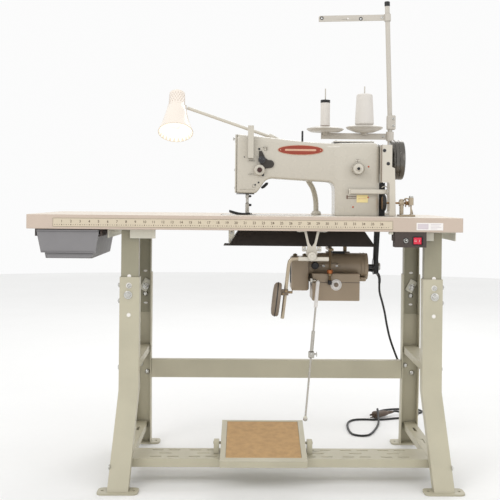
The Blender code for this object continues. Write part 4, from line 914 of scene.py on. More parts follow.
def make_under_table_fittings():
    """Lips of the drawer, marks and bezel of the switch, and the drip pan's hinge."""
    lip = prism(rounded(-0.5805, -0.4105, 0.6985, 0.703, 0.0018, 3), "Y", -0.2485, -0.245)
    grip = prism(rounded(-0.567, -0.422, 0.6385, 0.6412, 0.0012, 3), "Y", -0.248, -0.245)
    piece("drawer_lips", together([lip, grip]), "drawer", "grey_plastic", 0.0006)
    step = prism(
        [(-0.56, 0.6395), (-0.552, 0.624), (-0.43, 0.624), (-0.423, 0.6395)], "Y", -0.24, -0.225
    )
    piece("drawer_lower_step", step, "drawer", "grey_plastic", 0.003, 3)
    bezel_front, bezel_back = -0.2515, -0.2495
    outer = rounded(0.4662, 0.4956, 0.6682, 0.6928, 0.0015)
    piece("rocker_bezel", frame_shape(outer, 0.0022, bezel_front, bezel_back), "stand", "jet", 0.0004)
    tilt = Matrix.Translation((0.4809, -0.2465, 0.6805)) @ Matrix.Rotation(math.radians(-8), 4, "Z")
    bar = moved(block(0.005, 0.0058, -0.006, -0.004, -0.0032, 0.0032), tilt)
    mark = moved(ring_shape((-0.0054, -0.0053, 0), Y, 0.0026, 0.0004, 20, 6), tilt)
    piece("rocker_marks", together([bar, mark]), "rocker", "label_white")
    jack = [
        ring_shape((0.4481, -0.2502, 0.6805), Y, 0.0052, 0.0012),
        rod((0.4488, -0.2495, 0.6812), (0.4488, -0.253, 0.6818), 0.0022, 16, 0.0005),
    ]
    piece("jack_ring", together(jack), "stand", "zinc")
    socket = prism(rounded(0.4412, 0.455, 0.6735, 0.688, 0.002), "Y", -0.2506, -0.2498)
    piece("jack_plate", socket, "stand", "jet")
    piece("cable_clip", block(0.401, 0.417, -0.246, -0.234, 0.6975, 0.7045, 0.0012), "stand", "rail_paint")
    pan_left = [
        block(-0.05, -0.033, -0.153, -0.151, 0.666, 0.702, 0.0006),
        block(-0.05, -0.0485, -0.153, -0.13, 0.666, 0.702, 0.0005),
    ]
    piece("pan_hinge_plate", together(pan_left), "stand", "rail_paint")
    screws("pan_screws", [(-0.0415, -0.153, 0.695), (-0.0415, -0.153, 0.674)], -Y, 0.0034, "stand")


def frame_shape(outline, wide, front, back):
    """A flat ring round an outline of (x, z)."""
    middle_x = sum(x for x, _ in outline) / len(outline)
    middle_z = sum(z for _, z in outline) / len(outline)
    half_x = max(x for x, _ in outline) - middle_x
    half_z = max(z for _, z in outline) - middle_z
    share_x, share_z = 1 - wide / half_x, 1 - wide / half_z
    inner = [(middle_x + (x - middle_x) * share_x, middle_z + (z - middle_z) * share_z) for x, z in outline]
    rings = [
        [(x, front, z) for x, z in outline], [(x, back, z) for x, z in outline],
        [(x, back, z) for x, z in inner], [(x, front, z) for x, z in inner],
    ]
    return loft(rings, closed=True)


# Motor

def make_motor_fittings():
    """The motor's knob, side plate, belt screw, bolts, vents and bands."""
    knob = [
        (0, 0.05), (0.0075, 0.05), (0.0075, 0.044), (0.0112, 0.0435), (0.0118, 0.041), (0.0112, 0.034),
        (0.0095, 0.0318), (0.006, 0.0322), (0, 0.0328),
    ]
    piece("motor_knob", turned(knob, (0.2157, 0, 0.5876), Y, 24), "stand", "jet")
    plate = prism(rounded(0.2362, 0.29, 0.5808, 0.594, 0.003), "Y", 0.0425, 0.05)
    piece("motor_side_plate", plate, "stand", "motor_paint", 0.0006)
    screws("motor_plate_screws", [(0.243, 0.0425, 0.5873), (0.2832, 0.0425, 0.5873)], -Y, 0.0044, "stand")
    thread = [(0, 0.544)]
    for turn in range(64):
        z = 0.544 + turn * 0.0015
        thread += [(0.0036, z), (0.0043, z + 0.00075)]
    thread += [(0.0036, 0.64), (0, 0.64)]
    piece("belt_screw_thread", turned(thread, (0.2586, 0.004, 0), Z, 18), "stand", "bronze", smooth=60)
    nut = [(0, 0.5665), (0.0082, 0.5665), (0.0088, 0.568), (0.0088, 0.5765), (0.0082, 0.578), (0, 0.578)]
    low_nut = [(0, 0.56), (0.0066, 0.56), (0.0072, 0.5612), (0.0072, 0.5655), (0, 0.5665)]
    piece("belt_screw_nut", turned(nut, (0.2586, 0.004, 0), Z, 6), "stand", "copper", 0.0004)
    piece("belt_screw_lock_nut", turned(low_nut, (0.2586, 0.004, 0), Z, 6), "stand", "bronze", 0.0004)
    tip = [(0, 0.5325), (0.0052, 0.5325), (0.0064, 0.5345), (0.0064, 0.544), (0.0048, 0.5455), (0, 0.5455)]
    piece("belt_screw_tip", turned(tip, (0.2586, 0.004, 0), Z, 20), "stand", "jet")
    make_speed_dial()
    for number, x in enumerate((0.156, 0.186)):
        bolt = together(hex_bolt((x, 0.09, 0.612), Z, 0.007, 0.0085))
        piece(f"motor_cover_bolt_{number}", bolt, "stand", "bronze")
    piece("motor_saddle", block(0.274, 0.312, 0.078, 0.102, 0.619, 0.63, 0.003, 3), "stand", "jet")
    # Painted shade: black bars for the shade inside the cover's vent slots.
    vents = [block(0.1412, 0.143, y, y + 0.003, 0.53, 0.595, 0.0004, 1) for y in
             [0.056 + 0.008 * step for step in range(9)]]
    piece("motor_cover_vents", together(vents), "stand", "jet")
    ribs = [ring_band(x) for x in (0.212, 0.362, 0.372)]
    piece("motor_housing_bands", together(ribs), "stand", "motor_paint")
    hub = [(0, 0.4178), (0.0112, 0.4178), (0.0118, 0.419), (0.0118, 0.4236), (0.0105, 0.425), (0, 0.425)]
    piece("motor_pulley_hub", turned(hub, (0, MOTOR_Y, MOTOR_Z), X, 28), "motor_pulley", "zinc")
    piece("control_box_seam", block(0.2055, 0.3525, 0.0112, 0.0122, 0.5375, 0.5383), "stand", "jet")
    foot = block(0.353, 0.376, 0.048, 0.125, 0.539, 0.552, 0.003, 3)
    piece("motor_end_flange", foot, "stand", "motor_paint")


def ring_band(x):
    """A raised band round the motor's housing at x."""
    line = [(0.0405, x - 0.0016), (0.0432, x - 0.0012), (0.0432, x + 0.0012), (0.0405, x + 0.0016)]
    return turned(line, (0, MOTOR_Y, MOTOR_Z), X, 48, bored=True)


def make_speed_dial():
    """The motor's speed dial: a white disc with a dark knob and an even ring of ticks."""
    x, z, front = 0.2789, 0.531, 0.012
    disc = [(0, front + 0.001), (0.0168, front + 0.001), (0.0172, front - 0.0012), (0.0166, front - 0.002)]
    disc += [(0, front - 0.002)]
    piece("speed_dial_face", turned(disc, (x, 0, z), Y, 40), "stand", "label_white")
    knob = [(0, front - 0.0018), (0.0066, front - 0.0018), (0.007, front - 0.004), (0.0062, front - 0.0075)]
    knob += [(0.003, front - 0.0082), (0, front - 0.008)]
    piece("speed_dial_knob", turned(knob, (x, 0, z), Y, 24), "stand", "pad_grey")
    ticks = []
    for step in range(24):
        turn = Matrix.Translation((x, front - 0.002, z)) @ Matrix.Rotation(math.tau * step / 24, 4, "Y")
        long = 0.0042 if step % 4 == 0 else 0.0026
        ticks.append(moved(block(-0.0005, 0.0005, -0.0003, 0.0003, 0.0155 - long, 0.0155), turn))
    piece("speed_dial_ticks", together(ticks), "stand", "ink")


# Pitman, treadle and knee lifter

def make_linkage_fittings():
    """Sleeve, wing screw and socket of the pitman rod, and the treadle's mat."""
    low, high = PITMAN_FOOT, PITMAN_TOP
    sleeve = rod(low.lerp(high, 0.8), low.lerp(high, 0.992), 0.0056, 20, 0.0008)
    piece("pitman_sleeve", sleeve, "pitman", "label_white")
    clamp = low.lerp(high, 0.46)
    wing = [
        rod(clamp + Vector((0.006, 0, 0.001)), clamp + Vector((0.0165, 0, 0.001)), 0.003, 14, 0.0004),
        block(0.012, 0.015, -0.0012, 0.0012, -0.0065, 0.0085, 0.0008),
        rod(clamp + Vector((0, -0.0045, 0.003)), clamp + Vector((0, -0.01, 0.003)), 0.0046, 6, 0.0006),
    ]
    wing[1] = moved(wing[1], Matrix.Translation(clamp + Vector((0.003, 0, 0))))
    piece("pitman_wing_screw", together(wing), "pitman", "zinc")
    ball = [(0, -0.001), (0.0042, 0.001), (0.0062, 0.005), (0.0062, 0.0085), (0.0042, 0.0125), (0, 0.014)]
    along = (high - low).normalized()
    piece("pitman_foot_socket", turned(ball, low - 0.004 * along, along, 20), "pitman", "rail_paint")
    near, far = -0.1227, 0.1329
    tilt = Matrix.Translation((0, -0.19, 0.098)) @ Matrix.Rotation(math.radians(12), 4, "X")
    mat = [block(-0.0492, 0.1592, near + 0.0228, far - 0.0098, 0.0042, 0.0058, 0.0004, 1)]
    for step in range(34):
        y = near + 0.0275 + step * 0.0066
        if y < far - 0.0145:
            mat.append(block(-0.047, 0.157, y, y + 0.0032, 0.0052, 0.0066, 0.0004, 1))
    piece("pedal_mat", moved(together(mat), tilt), "treadle", "tan_mat")
    make_knee_fittings()


def make_knee_fittings():
    """Sleeve, cap, screws and piping of the knee lifter."""
    y = KNEE_Y
    sleeve = rod((0.148, y, 0.6256), (0.2348, y, 0.6256), 0.006, 20, 0.0012)
    piece("knee_arm_sleeve", sleeve, "knee_lever", "cream_paint")
    cap = [(0, -0.2296), (0.0118, -0.2296), (0.0124, -0.231), (0.0112, -0.2335), (0.0055, -0.2345)]
    cap += [(0.0048, -0.2365), (0, -0.2368)]
    piece("knee_hub_cap", turned(cap, (0.187, 0, 0.634), Y, 30), "knee_lever", "cream_paint")
    ears = [
        block(x - 0.006, x + 0.006, -0.215, -0.201, 0.646, 0.66, 0.0025, 3) for x in (0.1655, 0.2085)
    ]
    piece("knee_hanger_ears", together(ears), "stand", "cream_paint")
    screws("knee_stop_screws", [(0.1655, -0.215, 0.653), (0.2085, -0.215, 0.653)], -Y, 0.0042, "stand")
    screws("knee_hanger_screws", [(0.152, -0.2145, 0.7022), (0.222, -0.2145, 0.7022)], -Z, 0.0038, "stand")
    spindle = [
        rod((0.1205, y, 0.531), (0.133, y, 0.531), 0.0036, 16, 0.0004),
        rod((0.114, y - 0.0085, 0.535), (0.114, y - 0.014, 0.535), 0.004, 6, 0.0005),
        rod((0.106, y - 0.0085, 0.527), (0.106, y - 0.013, 0.527), 0.0034, 6, 0.0005),
    ]
    for lean in (35, -40):
        turn = Matrix.Translation((0.132, y, 0.531)) @ Matrix.Rotation(math.radians(lean), 4, "X")
        spindle.append(moved(block(-0.001, 0.001, -0.003, 0.003, 0, 0.011, 0.0006), turn))
    piece("knee_pad_wing_screw", together(spindle), "knee_lever", "bronze")
    rim = []
    lean = Matrix.Translation((0.087, y, 0.511)) @ Matrix.Rotation(math.radians(6.4), 4, "Y")
    lean = lean @ Matrix.Translation((-0.087, -y, -0.511))
    for x, grow in ((0.0862, 0.0), (0.0866, 0.0012), (0.0884, 0.0012), (0.0888, 0.0)):
        points = arc((0, 0), 1, 0, 345, 23)
        rim.append([(x, y + (0.0372 + grow) * u, 0.511 + (0.0482 + grow) * v) for u, v in points])
    piece("knee_pad_piping", moved(loft(rim), lean), "knee_lever", "jet", 0.0004)


# Head

def between(points, x):
    """The height at x of a line through (x, height) points."""
    for (left, low), (right, high) in zip(points, points[1:]):
        if left <= x <= right:
            return low + (high - low) * (x - left) / (right - left)
    return points[0][1] if x < points[0][0] else points[-1][1]


def eased(start, end, x):
    """0 before start, 1 after end, and a smooth step between them."""
    share = min(max((x - start) / (end - start), 0), 1)
    return share * share * (3 - 2 * share)


ARM_TOP = [(-0.0295, 0.9885), (0.026, 0.9836), (0.1, 0.9762), (0.17, 0.969), (0.248, 0.964), (0.3, 0.9648),
           (0.382, 0.9665), (0.392, 0.963), (0.398, 0.957), (0.4, 0.95)]
ARM_UNDER = [
    (-0.0295, 0.8095), (0.0243, 0.8085), (0.031, 0.8125), (0.038, 0.821), (0.0536, 0.844), (0.06, 0.8505),
    (0.073, 0.8555), (0.16, 0.8505), (0.2457, 0.846), (0.2515, 0.8451), (0.256, 0.8428), (0.26, 0.8395),
    (0.2632, 0.834), (0.265, 0.826), (0.2658, 0.81), (0.2662, 0.7453), (0.4, 0.7453),
]


def arm_ring(x):
    """The arm's or column's rounded section at x."""
    top, under = between(ARM_TOP, x), between(ARM_UNDER, x)
    half = 0.04 + 0.019 * eased(0.232, 0.292, x)
    if x > 0.388:
        half -= 0.012 - math.sqrt(max(0.012**2 - (x - 0.388) ** 2, 0))
    if x < -0.0265:
        half -= 0.0015
    foot = min(0.0075, 0.0075 * (under - 0.7453) / 0.04)
    points = []
    foot = max(foot, 0.0006)
    for radius, sign_y, sign_z, start in (
        (0.0145, 1, 1, 0), (0.0145, -1, 1, 90), (foot, -1, -1, 180), (foot, 1, -1, 270),
    ):
        centre_y = sign_y * (half - radius)
        centre_z = top - radius if sign_z > 0 else under + radius
        points += [(x, y, z) for y, z in arc((centre_y, centre_z), radius, start, start + 90, 7)]
    return points


def make_casting():
    """The arm and column as one smooth casting, hollow inside as the solid is."""
    stations = [-0.0295, -0.0285, -0.0265, -0.02]
    stations += [-0.01 + 0.008 * step for step in range(31)]
    stations += [0.234 + 0.0011 * step for step in range(25)]
    stations += [0.261 + 0.0004 * step for step in range(16)]
    stations += [0.2675, 0.272, 0.278, 0.285, 0.292, 0.3, 0.315, 0.33, 0.345, 0.36, 0.375, 0.384]
    stations += [0.388, 0.3905, 0.393, 0.395, 0.397, 0.3985, 0.3994, 0.3999]
    shape = loft([arm_ring(x) for x in sorted(set(stations))])
    cutters = [
        block(0.28, 0.388, -0.046, 0.046, 0.7, 0.95),
        block(0.04, 0.285, -0.022, 0.022, 0.895, 0.94),
        block(-0.05, 0.045, -0.03, 0.03, 0.822, 0.975),
        rod((0.38, WHEEL_Y, WHEEL_Z), (0.42, WHEEL_Y, WHEEL_Z), 0.01),
        rod((0.003, 0, 0.8), (0.003, 0, 0.83), 0.0066),
        rod((0.003, 0.018, 0.8), (0.003, 0.018, 0.83), 0.0066),
        block(0.007, 0.0165, -0.06, -0.02, 0.917, 0.9745),
    ]
    made = piece("casting", shape, "head", "head_enamel", stands_for=["arm_casting"])
    for number, cutter in enumerate(cutters):
        mesh = bpy.data.meshes.new("cutter")
        moved(cutter, Matrix.Translation((0, TABLE_SHIFT, 0))).to_mesh(mesh)
        cutter.free()
        mesh.materials.append(LOOKS["head_enamel"])
        tool = in_scene("cutter", mesh)
        cut = made.modifiers.new(f"cut_{number}", "BOOLEAN")
        cut.operation = "DIFFERENCE"
        cut.solver = "EXACT"
        cut.object = tool
        graph = bpy.context.evaluated_depsgraph_get()
        result = bpy.data.meshes.new_from_object(made.evaluated_get(graph))
        made.modifiers.remove(cut)
        made.data = result
        bpy.data.objects.remove(tool)
        bpy.data.meshes.remove(mesh)
    made.data.set_sharp_from_angle(angle=math.radians(40))


def make_badge():
    """A plain oval badge with a pale rim and no lettering."""
    for name, half_x, half_z, front, look in (
        ("badge_rim", 0.069, 0.0152, -0.0412, "badge_rim"),
        ("badge_face", 0.0672, 0.0137, -0.0417, "badge_red"),
    ):
        outline = []
        for step in range(72):
            angle = math.tau * step / 72
            across, high = math.cos(angle), math.sin(angle)
            high = math.copysign(abs(high) ** 0.92, high)
            outline.append((0.1622 + half_x * across, 0.9418 + half_z * high))
        piece(name, prism(outline, "Y", front, -0.0395), "head", look, 0.0002, 1)
    dots = [button((x, -0.0416, 0.9418), -Y, 0.0016, 0.0006) for x in (0.1017, 0.2227)]
    bar = prism(rounded(0.1147, 0.2097, 0.9388, 0.9448, 0.003), "Y", -0.0419, -0.0412)
    piece("badge_marks", together([*dots, bar]), "head", "badge_rim")


def make_tension_parts():
    """Tension discs, their plate, the knob's teeth and the thread guides round them."""
    plate = [(0.037, 0.9375), (0.0455, 0.938), (0.05, 0.929), (0.056, 0.917), (0.065, 0.9105)]
    plate += arc((0.0705, 0.8985), 0.012, 80, -95, 10)
    plate += [(0.057, 0.885), (0.05, 0.889), (0.044, 0.896), (0.037, 0.905)]
    piece("tension_plate", prism(plate, "Y", -0.044, -0.0395), "head", "dark_plate", 0.0008)
    discs = [
        (0, -0.043), (0.004, -0.043), (0.0105, -0.0445), (0.0108, -0.0455), (0.006, -0.047),
        (0.0105, -0.0485), (0.0108, -0.0495), (0.005, -0.051), (0.0045, -0.056), (0, -0.0565),
    ]
    piece("upper_tension_discs", turned(discs, (0.0455, 0, 0.911), Y, 30), "head", "dark_iron")
    centre = [(0, -0.0598), (0.0072, -0.0598), (0.0076, -0.0612), (0.006, -0.0632), (0, -0.0638)]
    piece("tension_knob_centre", turned(centre, (0.039, 0, 0.88), Y, 26), "tension_knob", "dark_red")
    teeth = []
    for step in range(28):
        turn = Matrix.Translation((0.039, 0, 0.88)) @ Matrix.Rotation(math.tau * step / 28, 4, "Y")
        teeth.append(moved(block(-0.0007, 0.0007, -0.0508, -0.0455, 0.0155, 0.0166, 0.0003, 1), turn))
    piece("tension_knob_teeth", together(teeth), "tension_knob", "cream_paint")
    spots = [
        (0.0375, 0.9435, 0.0034), (0.049, 0.8655, 0.0042), (0.0365, 0.8425, 0.0028), (0.0262, 0.8355, 0.0026),
        (-0.0071, 0.9189, 0.0018),
    ]
    for number, (x, z, radius) in enumerate(spots):
        screws(f"arm_screw_{number}", [(x, ARM_FRONT, z)], -Y, radius, "head", "dark_iron", 0.0014)
    guides = [
        pipe([(0.05, -0.0395, 0.948), (0.05, -0.046, 0.948), (0.052, -0.0475, 0.949),
              (0.058, -0.0475, 0.949), (0.06, -0.046, 0.948), (0.06, -0.0395, 0.94)], 0.0012, 10),
        pipe([(0.006, -0.0395, 0.908), (0.006, -0.045, 0.908), (0.024, -0.045, 0.9085),
              (0.024, -0.0395, 0.9085)], 0.0009, 8),
        pipe([(0.006, -0.0395, 0.867), (0.006, -0.045, 0.867), (0.021, -0.045, 0.868),
              (0.021, -0.0395, 0.868)], 0.0009, 8),
    ]
    piece("thread_guides", together(guides), "head", "steel")
    loop = block(0.0525, 0.0625, -0.043, -0.0395, 0.9395, 0.9505, 0.0012)
    piece("thread_guide_block", loop, "head", "cream_paint")
    # Painted shade: a black strip for the shade in the guide's slot.
    piece("thread_guide_slot", block(0.0592, 0.061, -0.0436, -0.0428, 0.9405, 0.9495), "head", "jet")


def make_face_fittings():
    """Fittings at the needle end: screws, seams, painted shade under the head, guides, clamp, foot and needle
    plate.
    """
    knob = [(0, 0), (0.0018, 0), (0.0018, 0.0035), (0.0046, 0.004), (0.0048, 0.0062), (0.004, 0.0072)]
    knob.append((0, 0.0074))
    piece("face_thumb_screw", turned(knob, (-0.0348, -0.02, 0.9745), -X, 20), "head", "zinc")
    places = [(-0.035, 0.024, 0.97), (-0.035, 0.0, 0.826), (-0.035, -0.026, 0.88)]
    screws("face_plate_screws", places, -X, 0.0042, "head")
    ledge = block(-0.018, 0.025, -0.0412, -0.0395, 0.8205, 0.8232, 0.0005)
    piece("bar_bushing_ledge", ledge, "head", "head_enamel")
    square = frame_shape(rounded(0.018, 0.027, 0.8275, 0.8365, 0.0008, 2), 0.0008, -0.0406, -0.0396)
    piece("stop_plate_line", square, "head", "cream_shadow")
    # Painted shade: a thin dark plate along the head's underside at the needle end.
    underside_shade = block(-0.031, 0.024, -0.0385, 0.0385, 0.8066, 0.8086, 0.0006)
    piece("head_underside_shade", underside_shade, "head", "dark_iron")
    piece("face_plate_gap", block(-0.0298, -0.0292, -0.0392, 0.0392, 0.811, 0.9875), "head", "cream_shadow")
    post = [(0, 0.96), (0.003, 0.96), (0.003, 0.999), (0.0023, 1.0005), (0, 1.0008)]
    piece("arm_thread_pin", turned(post, (0.168, -0.028, 0), Z, 18), "head", "jet")
    nose = [(0.044, 0.8285), (0.048, 0.824), (0.056, 0.827), (0.066, 0.837), (0.068, 0.844), (0.06, 0.844)]
    piece("arm_hand_lift_cam", prism(nose, "Y", 0.03, 0.039), "head", "jet", 0.0015)
    guard = smooth_path([
        (-0.051, -0.052, 0.756), (-0.042, -0.054, 0.753), (-0.024, -0.052, 0.7485), (-0.006, -0.05, 0.7475),
        (0.012, -0.05, 0.75),
    ], 6)
    rings = []
    for step, point in enumerate(guard):
        share = step / (len(guard) - 1)
        high = 0.0022 + 0.0022 * math.sin(math.pi * min(1, 0.25 + share * 0.8))
        section = arc((0, 0), 1, 0, 337.5, 15)
        rings.append([point + Vector((0, 0.005 * u, high * v)) for u, v in section])
    piece("edge_guide", loft(rings), "head", "jet")
    bar = rod((0.003, 0.0, 0.781), (0.003, 0.0, 0.7955), 0.003, 16, 0.0006)
    piece("needle_clamp", bar, "needle", "steel")
    knobs = [
        rod((0.008, 0.0, 0.801), (0.0155, 0.0, 0.801), 0.0026, 14, 0.0005),
        rod((0.01, 0.0, 0.801), (0.013, 0.0, 0.801), 0.004, 14, 0.0005),
    ]
    piece("needle_clamp_screw", together(knobs), "needle", "dark_iron")
    foot_screw = rod((0.0085, 0.018, 0.774), (0.016, 0.018, 0.774), 0.0038, 14, 0.0006)
    piece("presser_foot_screw", foot_screw, "presser", "dark_iron")
    toes = [
        block(x - 0.0022, x + 0.0022, -0.02, 0.012, 0.7466, 0.7492, 0.0008) for x in (-0.0055, 0.0115)
    ]
    piece("presser_toes", together(toes), "presser", "steel")
    plate = prism(rounded(-0.018, 0.03, -0.04, 0.04, 0.004), "Z", 0.7452, 0.746)
    piece("needle_plate", plate, "head", "steel", 0.0002, 1)
    low, high = 0.7459, 0.7462
    # Painted shade: black strips for the shade under the needle hole and the plate's slot.
    slot = [block(0.0015, 0.0045, -0.004, 0.01, low, high), block(0.02, 0.0205, -0.039, 0.039, low, high)]
    piece("needle_plate_slots", together(slot), "head", "jet")


def make_column_fittings():
    """The column's cover, dial ring and marks, blank labels and screws."""
    front = COLUMN_FRONT
    piece("top_cover", block(0.262, 0.385, -0.042, 0.042, 0.967, 0.9705, 0.0012), "head", "head_enamel")
    piece("top_cover_gasket", block(0.2628, 0.3842, -0.0414, 0.0414, 0.964, 0.9674), "head", "dark_iron")
    top_screws = [(x, y, 0.9705) for x in (0.27, 0.377) for y in (-0.033, 0.033)]
    screws("top_cover_screws", top_screws, Z, 0.0034, "head")
    centre = Vector((0.333, 0, 0.886))
    ring = [(0.006, -0.0868), (0.0066, -0.088), (0.005, -0.0892), (0.0042, -0.0875)]
    piece("stitch_dial_ring", turned(ring, centre, Y, 30, bored=True), "stitch_dial", "cream_paint")
    core = [(0, -0.0865), (0.0046, -0.0865), (0.0044, -0.0885), (0, -0.089)]
    piece("stitch_dial_core", turned(core, centre, Y, 24), "stitch_dial", "jet")
    marks, ribs = [], []
    for step in range(20):
        turn = Matrix.Translation(centre) @ Matrix.Rotation(math.tau * step / 20, 4, "Y")
        long = 0.003 if step % 2 else 0.0018
        marks.append(moved(block(-0.0004, 0.0004, -0.0848, -0.0838, 0.0165 - long, 0.0165), turn))
        ribs.append(moved(block(-0.0012, 0.0012, -0.0815, -0.0625, 0.018, 0.0191, 0.0005, 1), turn))
    piece("stitch_dial_marks", together(marks), "stitch_dial", "cream_shadow")
    piece("stitch_dial_ribs", together(ribs), "stitch_dial", "cream_paint")
    index = prism(rounded(0.3255, 0.3405, 0.9075, 0.9165, 0.003), "Y", front - 0.0009, front + 0.001)
    piece("stitch_index_plate", index, "head", "cream_paint", 0.0003, 1)
    pointer = [
        block(0.3324, 0.3336, front - 0.0014, front, 0.9075, 0.9118),
        block(0.3285, 0.3375, front - 0.0014, front, 0.914, 0.9148),
    ]
    piece("stitch_index_mark", together(pointer), "head", "ink")
    label = prism(rounded(0.331, 0.365, 0.7855, 0.8085, 0.0008, 2), "Y", front - 0.0008, front + 0.001)
    piece("blank_gold_label", label, "head", "gold", 0.0002, 1)
    piece("gold_label_line", block(0.335, 0.361, front - 0.001, front, 0.796, 0.7974), "head", "badge_rim")
    slots = [
        block(0.302, 0.33, front - 0.0007, front + 0.001, z, z + wide)
        for z, wide in ((0.8015, 0.002), (0.7965, 0.0014))
    ]
    slots.append(block(0.3005, 0.304, front - 0.0012, front + 0.001, 0.796, 0.8065))
    piece("lever_scale_lines", together(slots), "head", "brown_line")
    red = [(0.3661, front, 0.8935), (0.3204, front, 0.7717), (0.3653, front, 0.801)]
    for number, place in enumerate(red):
        piece(f"column_screw_{number}", button(place, -Y, 0.0028, 0.0012), "head", "red_dot")
    tip = [
        block(0.306, 0.31, -0.0768, -0.0652, 0.81, 0.8262, 0.0012),
        block(0.419, 0.4245, -0.0768, -0.0652, 0.808, 0.8268, 0.0018),
    ]
    piece("reverse_lever_ends", together(tip), "reverse_lever", "cream_paint")
    piece("column_side_seam", block(0.3993, 0.4003, -0.047, 0.047, 0.76, 0.948), "head", "cream_shadow")


def make_belt_guard_fittings():
    """The belt guard's screws, black plates and a dark line that paint the shade inside it and beside it, and
    the winder's spring and tyre.
    """
    places = [(0.4095, -0.0872, 0.941), (0.421, -0.0872, 0.902)]
    screws("belt_guard_screws", places, -Y, 0.0052, "head", "dark_iron")
    # Painted shade: black plates behind the guard's window and on its floor.
    piece("belt_guard_shade_back", block(0.401, 0.42, -0.035, -0.0335, 0.7465, 0.8455), "head", "jet", 0.0004, 1)
    piece("belt_guard_shade_floor", block(0.401, 0.444, -0.084, -0.035, 0.7458, 0.7472), "head", "jet")
    # Painted shade: a dark line in the gap between the guard and the column.
    edge = pipe([(0.4012, -0.0882, 0.848), (0.4012, -0.0882, 0.956)], 0.001, 8)
    piece("belt_guard_gap_shade", edge, "head", "brown_line")
    curl = smooth_path([
        (0.403, -0.08, 0.83), (0.411, -0.083, 0.835), (0.419, -0.083, 0.83), (0.4215, -0.083, 0.815),
    ], 5)
    piece("winder_spring", pipe(curl, 0.0016, 10), "head", "steel")
    tyre = [(0.0205, 0.405), (0.0232, 0.4062), (0.0238, 0.4107), (0.0232, 0.415), (0.0205, 0.4162)]
    piece("winder_tyre", turned(tyre, (0, WINDER_Y, WINDER_Z), X, 40, bored=True), "winder", "rubber")


def make_handwheel():
    """The balance wheel: belt groove, neck, stepped rim and dished face."""
    bore = 0.008
    profile = [
        (bore, 0.4025), (0.046, 0.4025), (0.047, 0.403), (0.047, BELT_X - 0.00575), (0.036, BELT_X - 0.0036),
        (0.036, BELT_X + 0.0036), (0.047, BELT_X + 0.00575), (0.047, 0.417), (0.046, 0.4175), (0.03, 0.4175),
        (0.0295, 0.438), (0.048, 0.4388), (0.0565, 0.4396), (0.059, 0.4415), (0.06, 0.445), (0.0588, 0.4462),
        (0.0588, 0.449), (0.0612, 0.4502), (0.0612, 0.4592), (0.06, 0.4604), (0.06, 0.462), (0.0612, 0.4632),
        (0.0612, 0.4735), (0.06, 0.4765), (0.0575, 0.478), (0.051, 0.478), (0.0495, 0.4765), (0.0475, 0.4665),
        (0.044, 0.464), (0.024, 0.4602), (0.0215, 0.462), (0.0205, 0.4725), (0.0195, 0.474), (bore, 0.474),
    ]
    wheel = turned(profile, (0, WHEEL_Y, WHEEL_Z), X, 72, bored=True)
    piece("balance_wheel", wheel, "handwheel", "wheel_iron", stands_for=["handwheel"])
    cap = [(0, 0.4715), (0.0125, 0.4715), (0.013, 0.4725), (0.013, 0.477), (0.0118, 0.4779), (0, 0.4779)]
    piece("wheel_lock_screw", turned(cap, (0, WHEEL_Y, WHEEL_Z), X, 32), "handwheel", "steel")
    turns = [0.5 + math.tau * third / 3 for third in range(3)]
    spots = [(0.4636, 0.034 * math.cos(a), WHEEL_Z + 0.034 * math.sin(a)) for a in turns]
    screws("wheel_screws", spots, X, 0.0034, "handwheel")


# Lamp

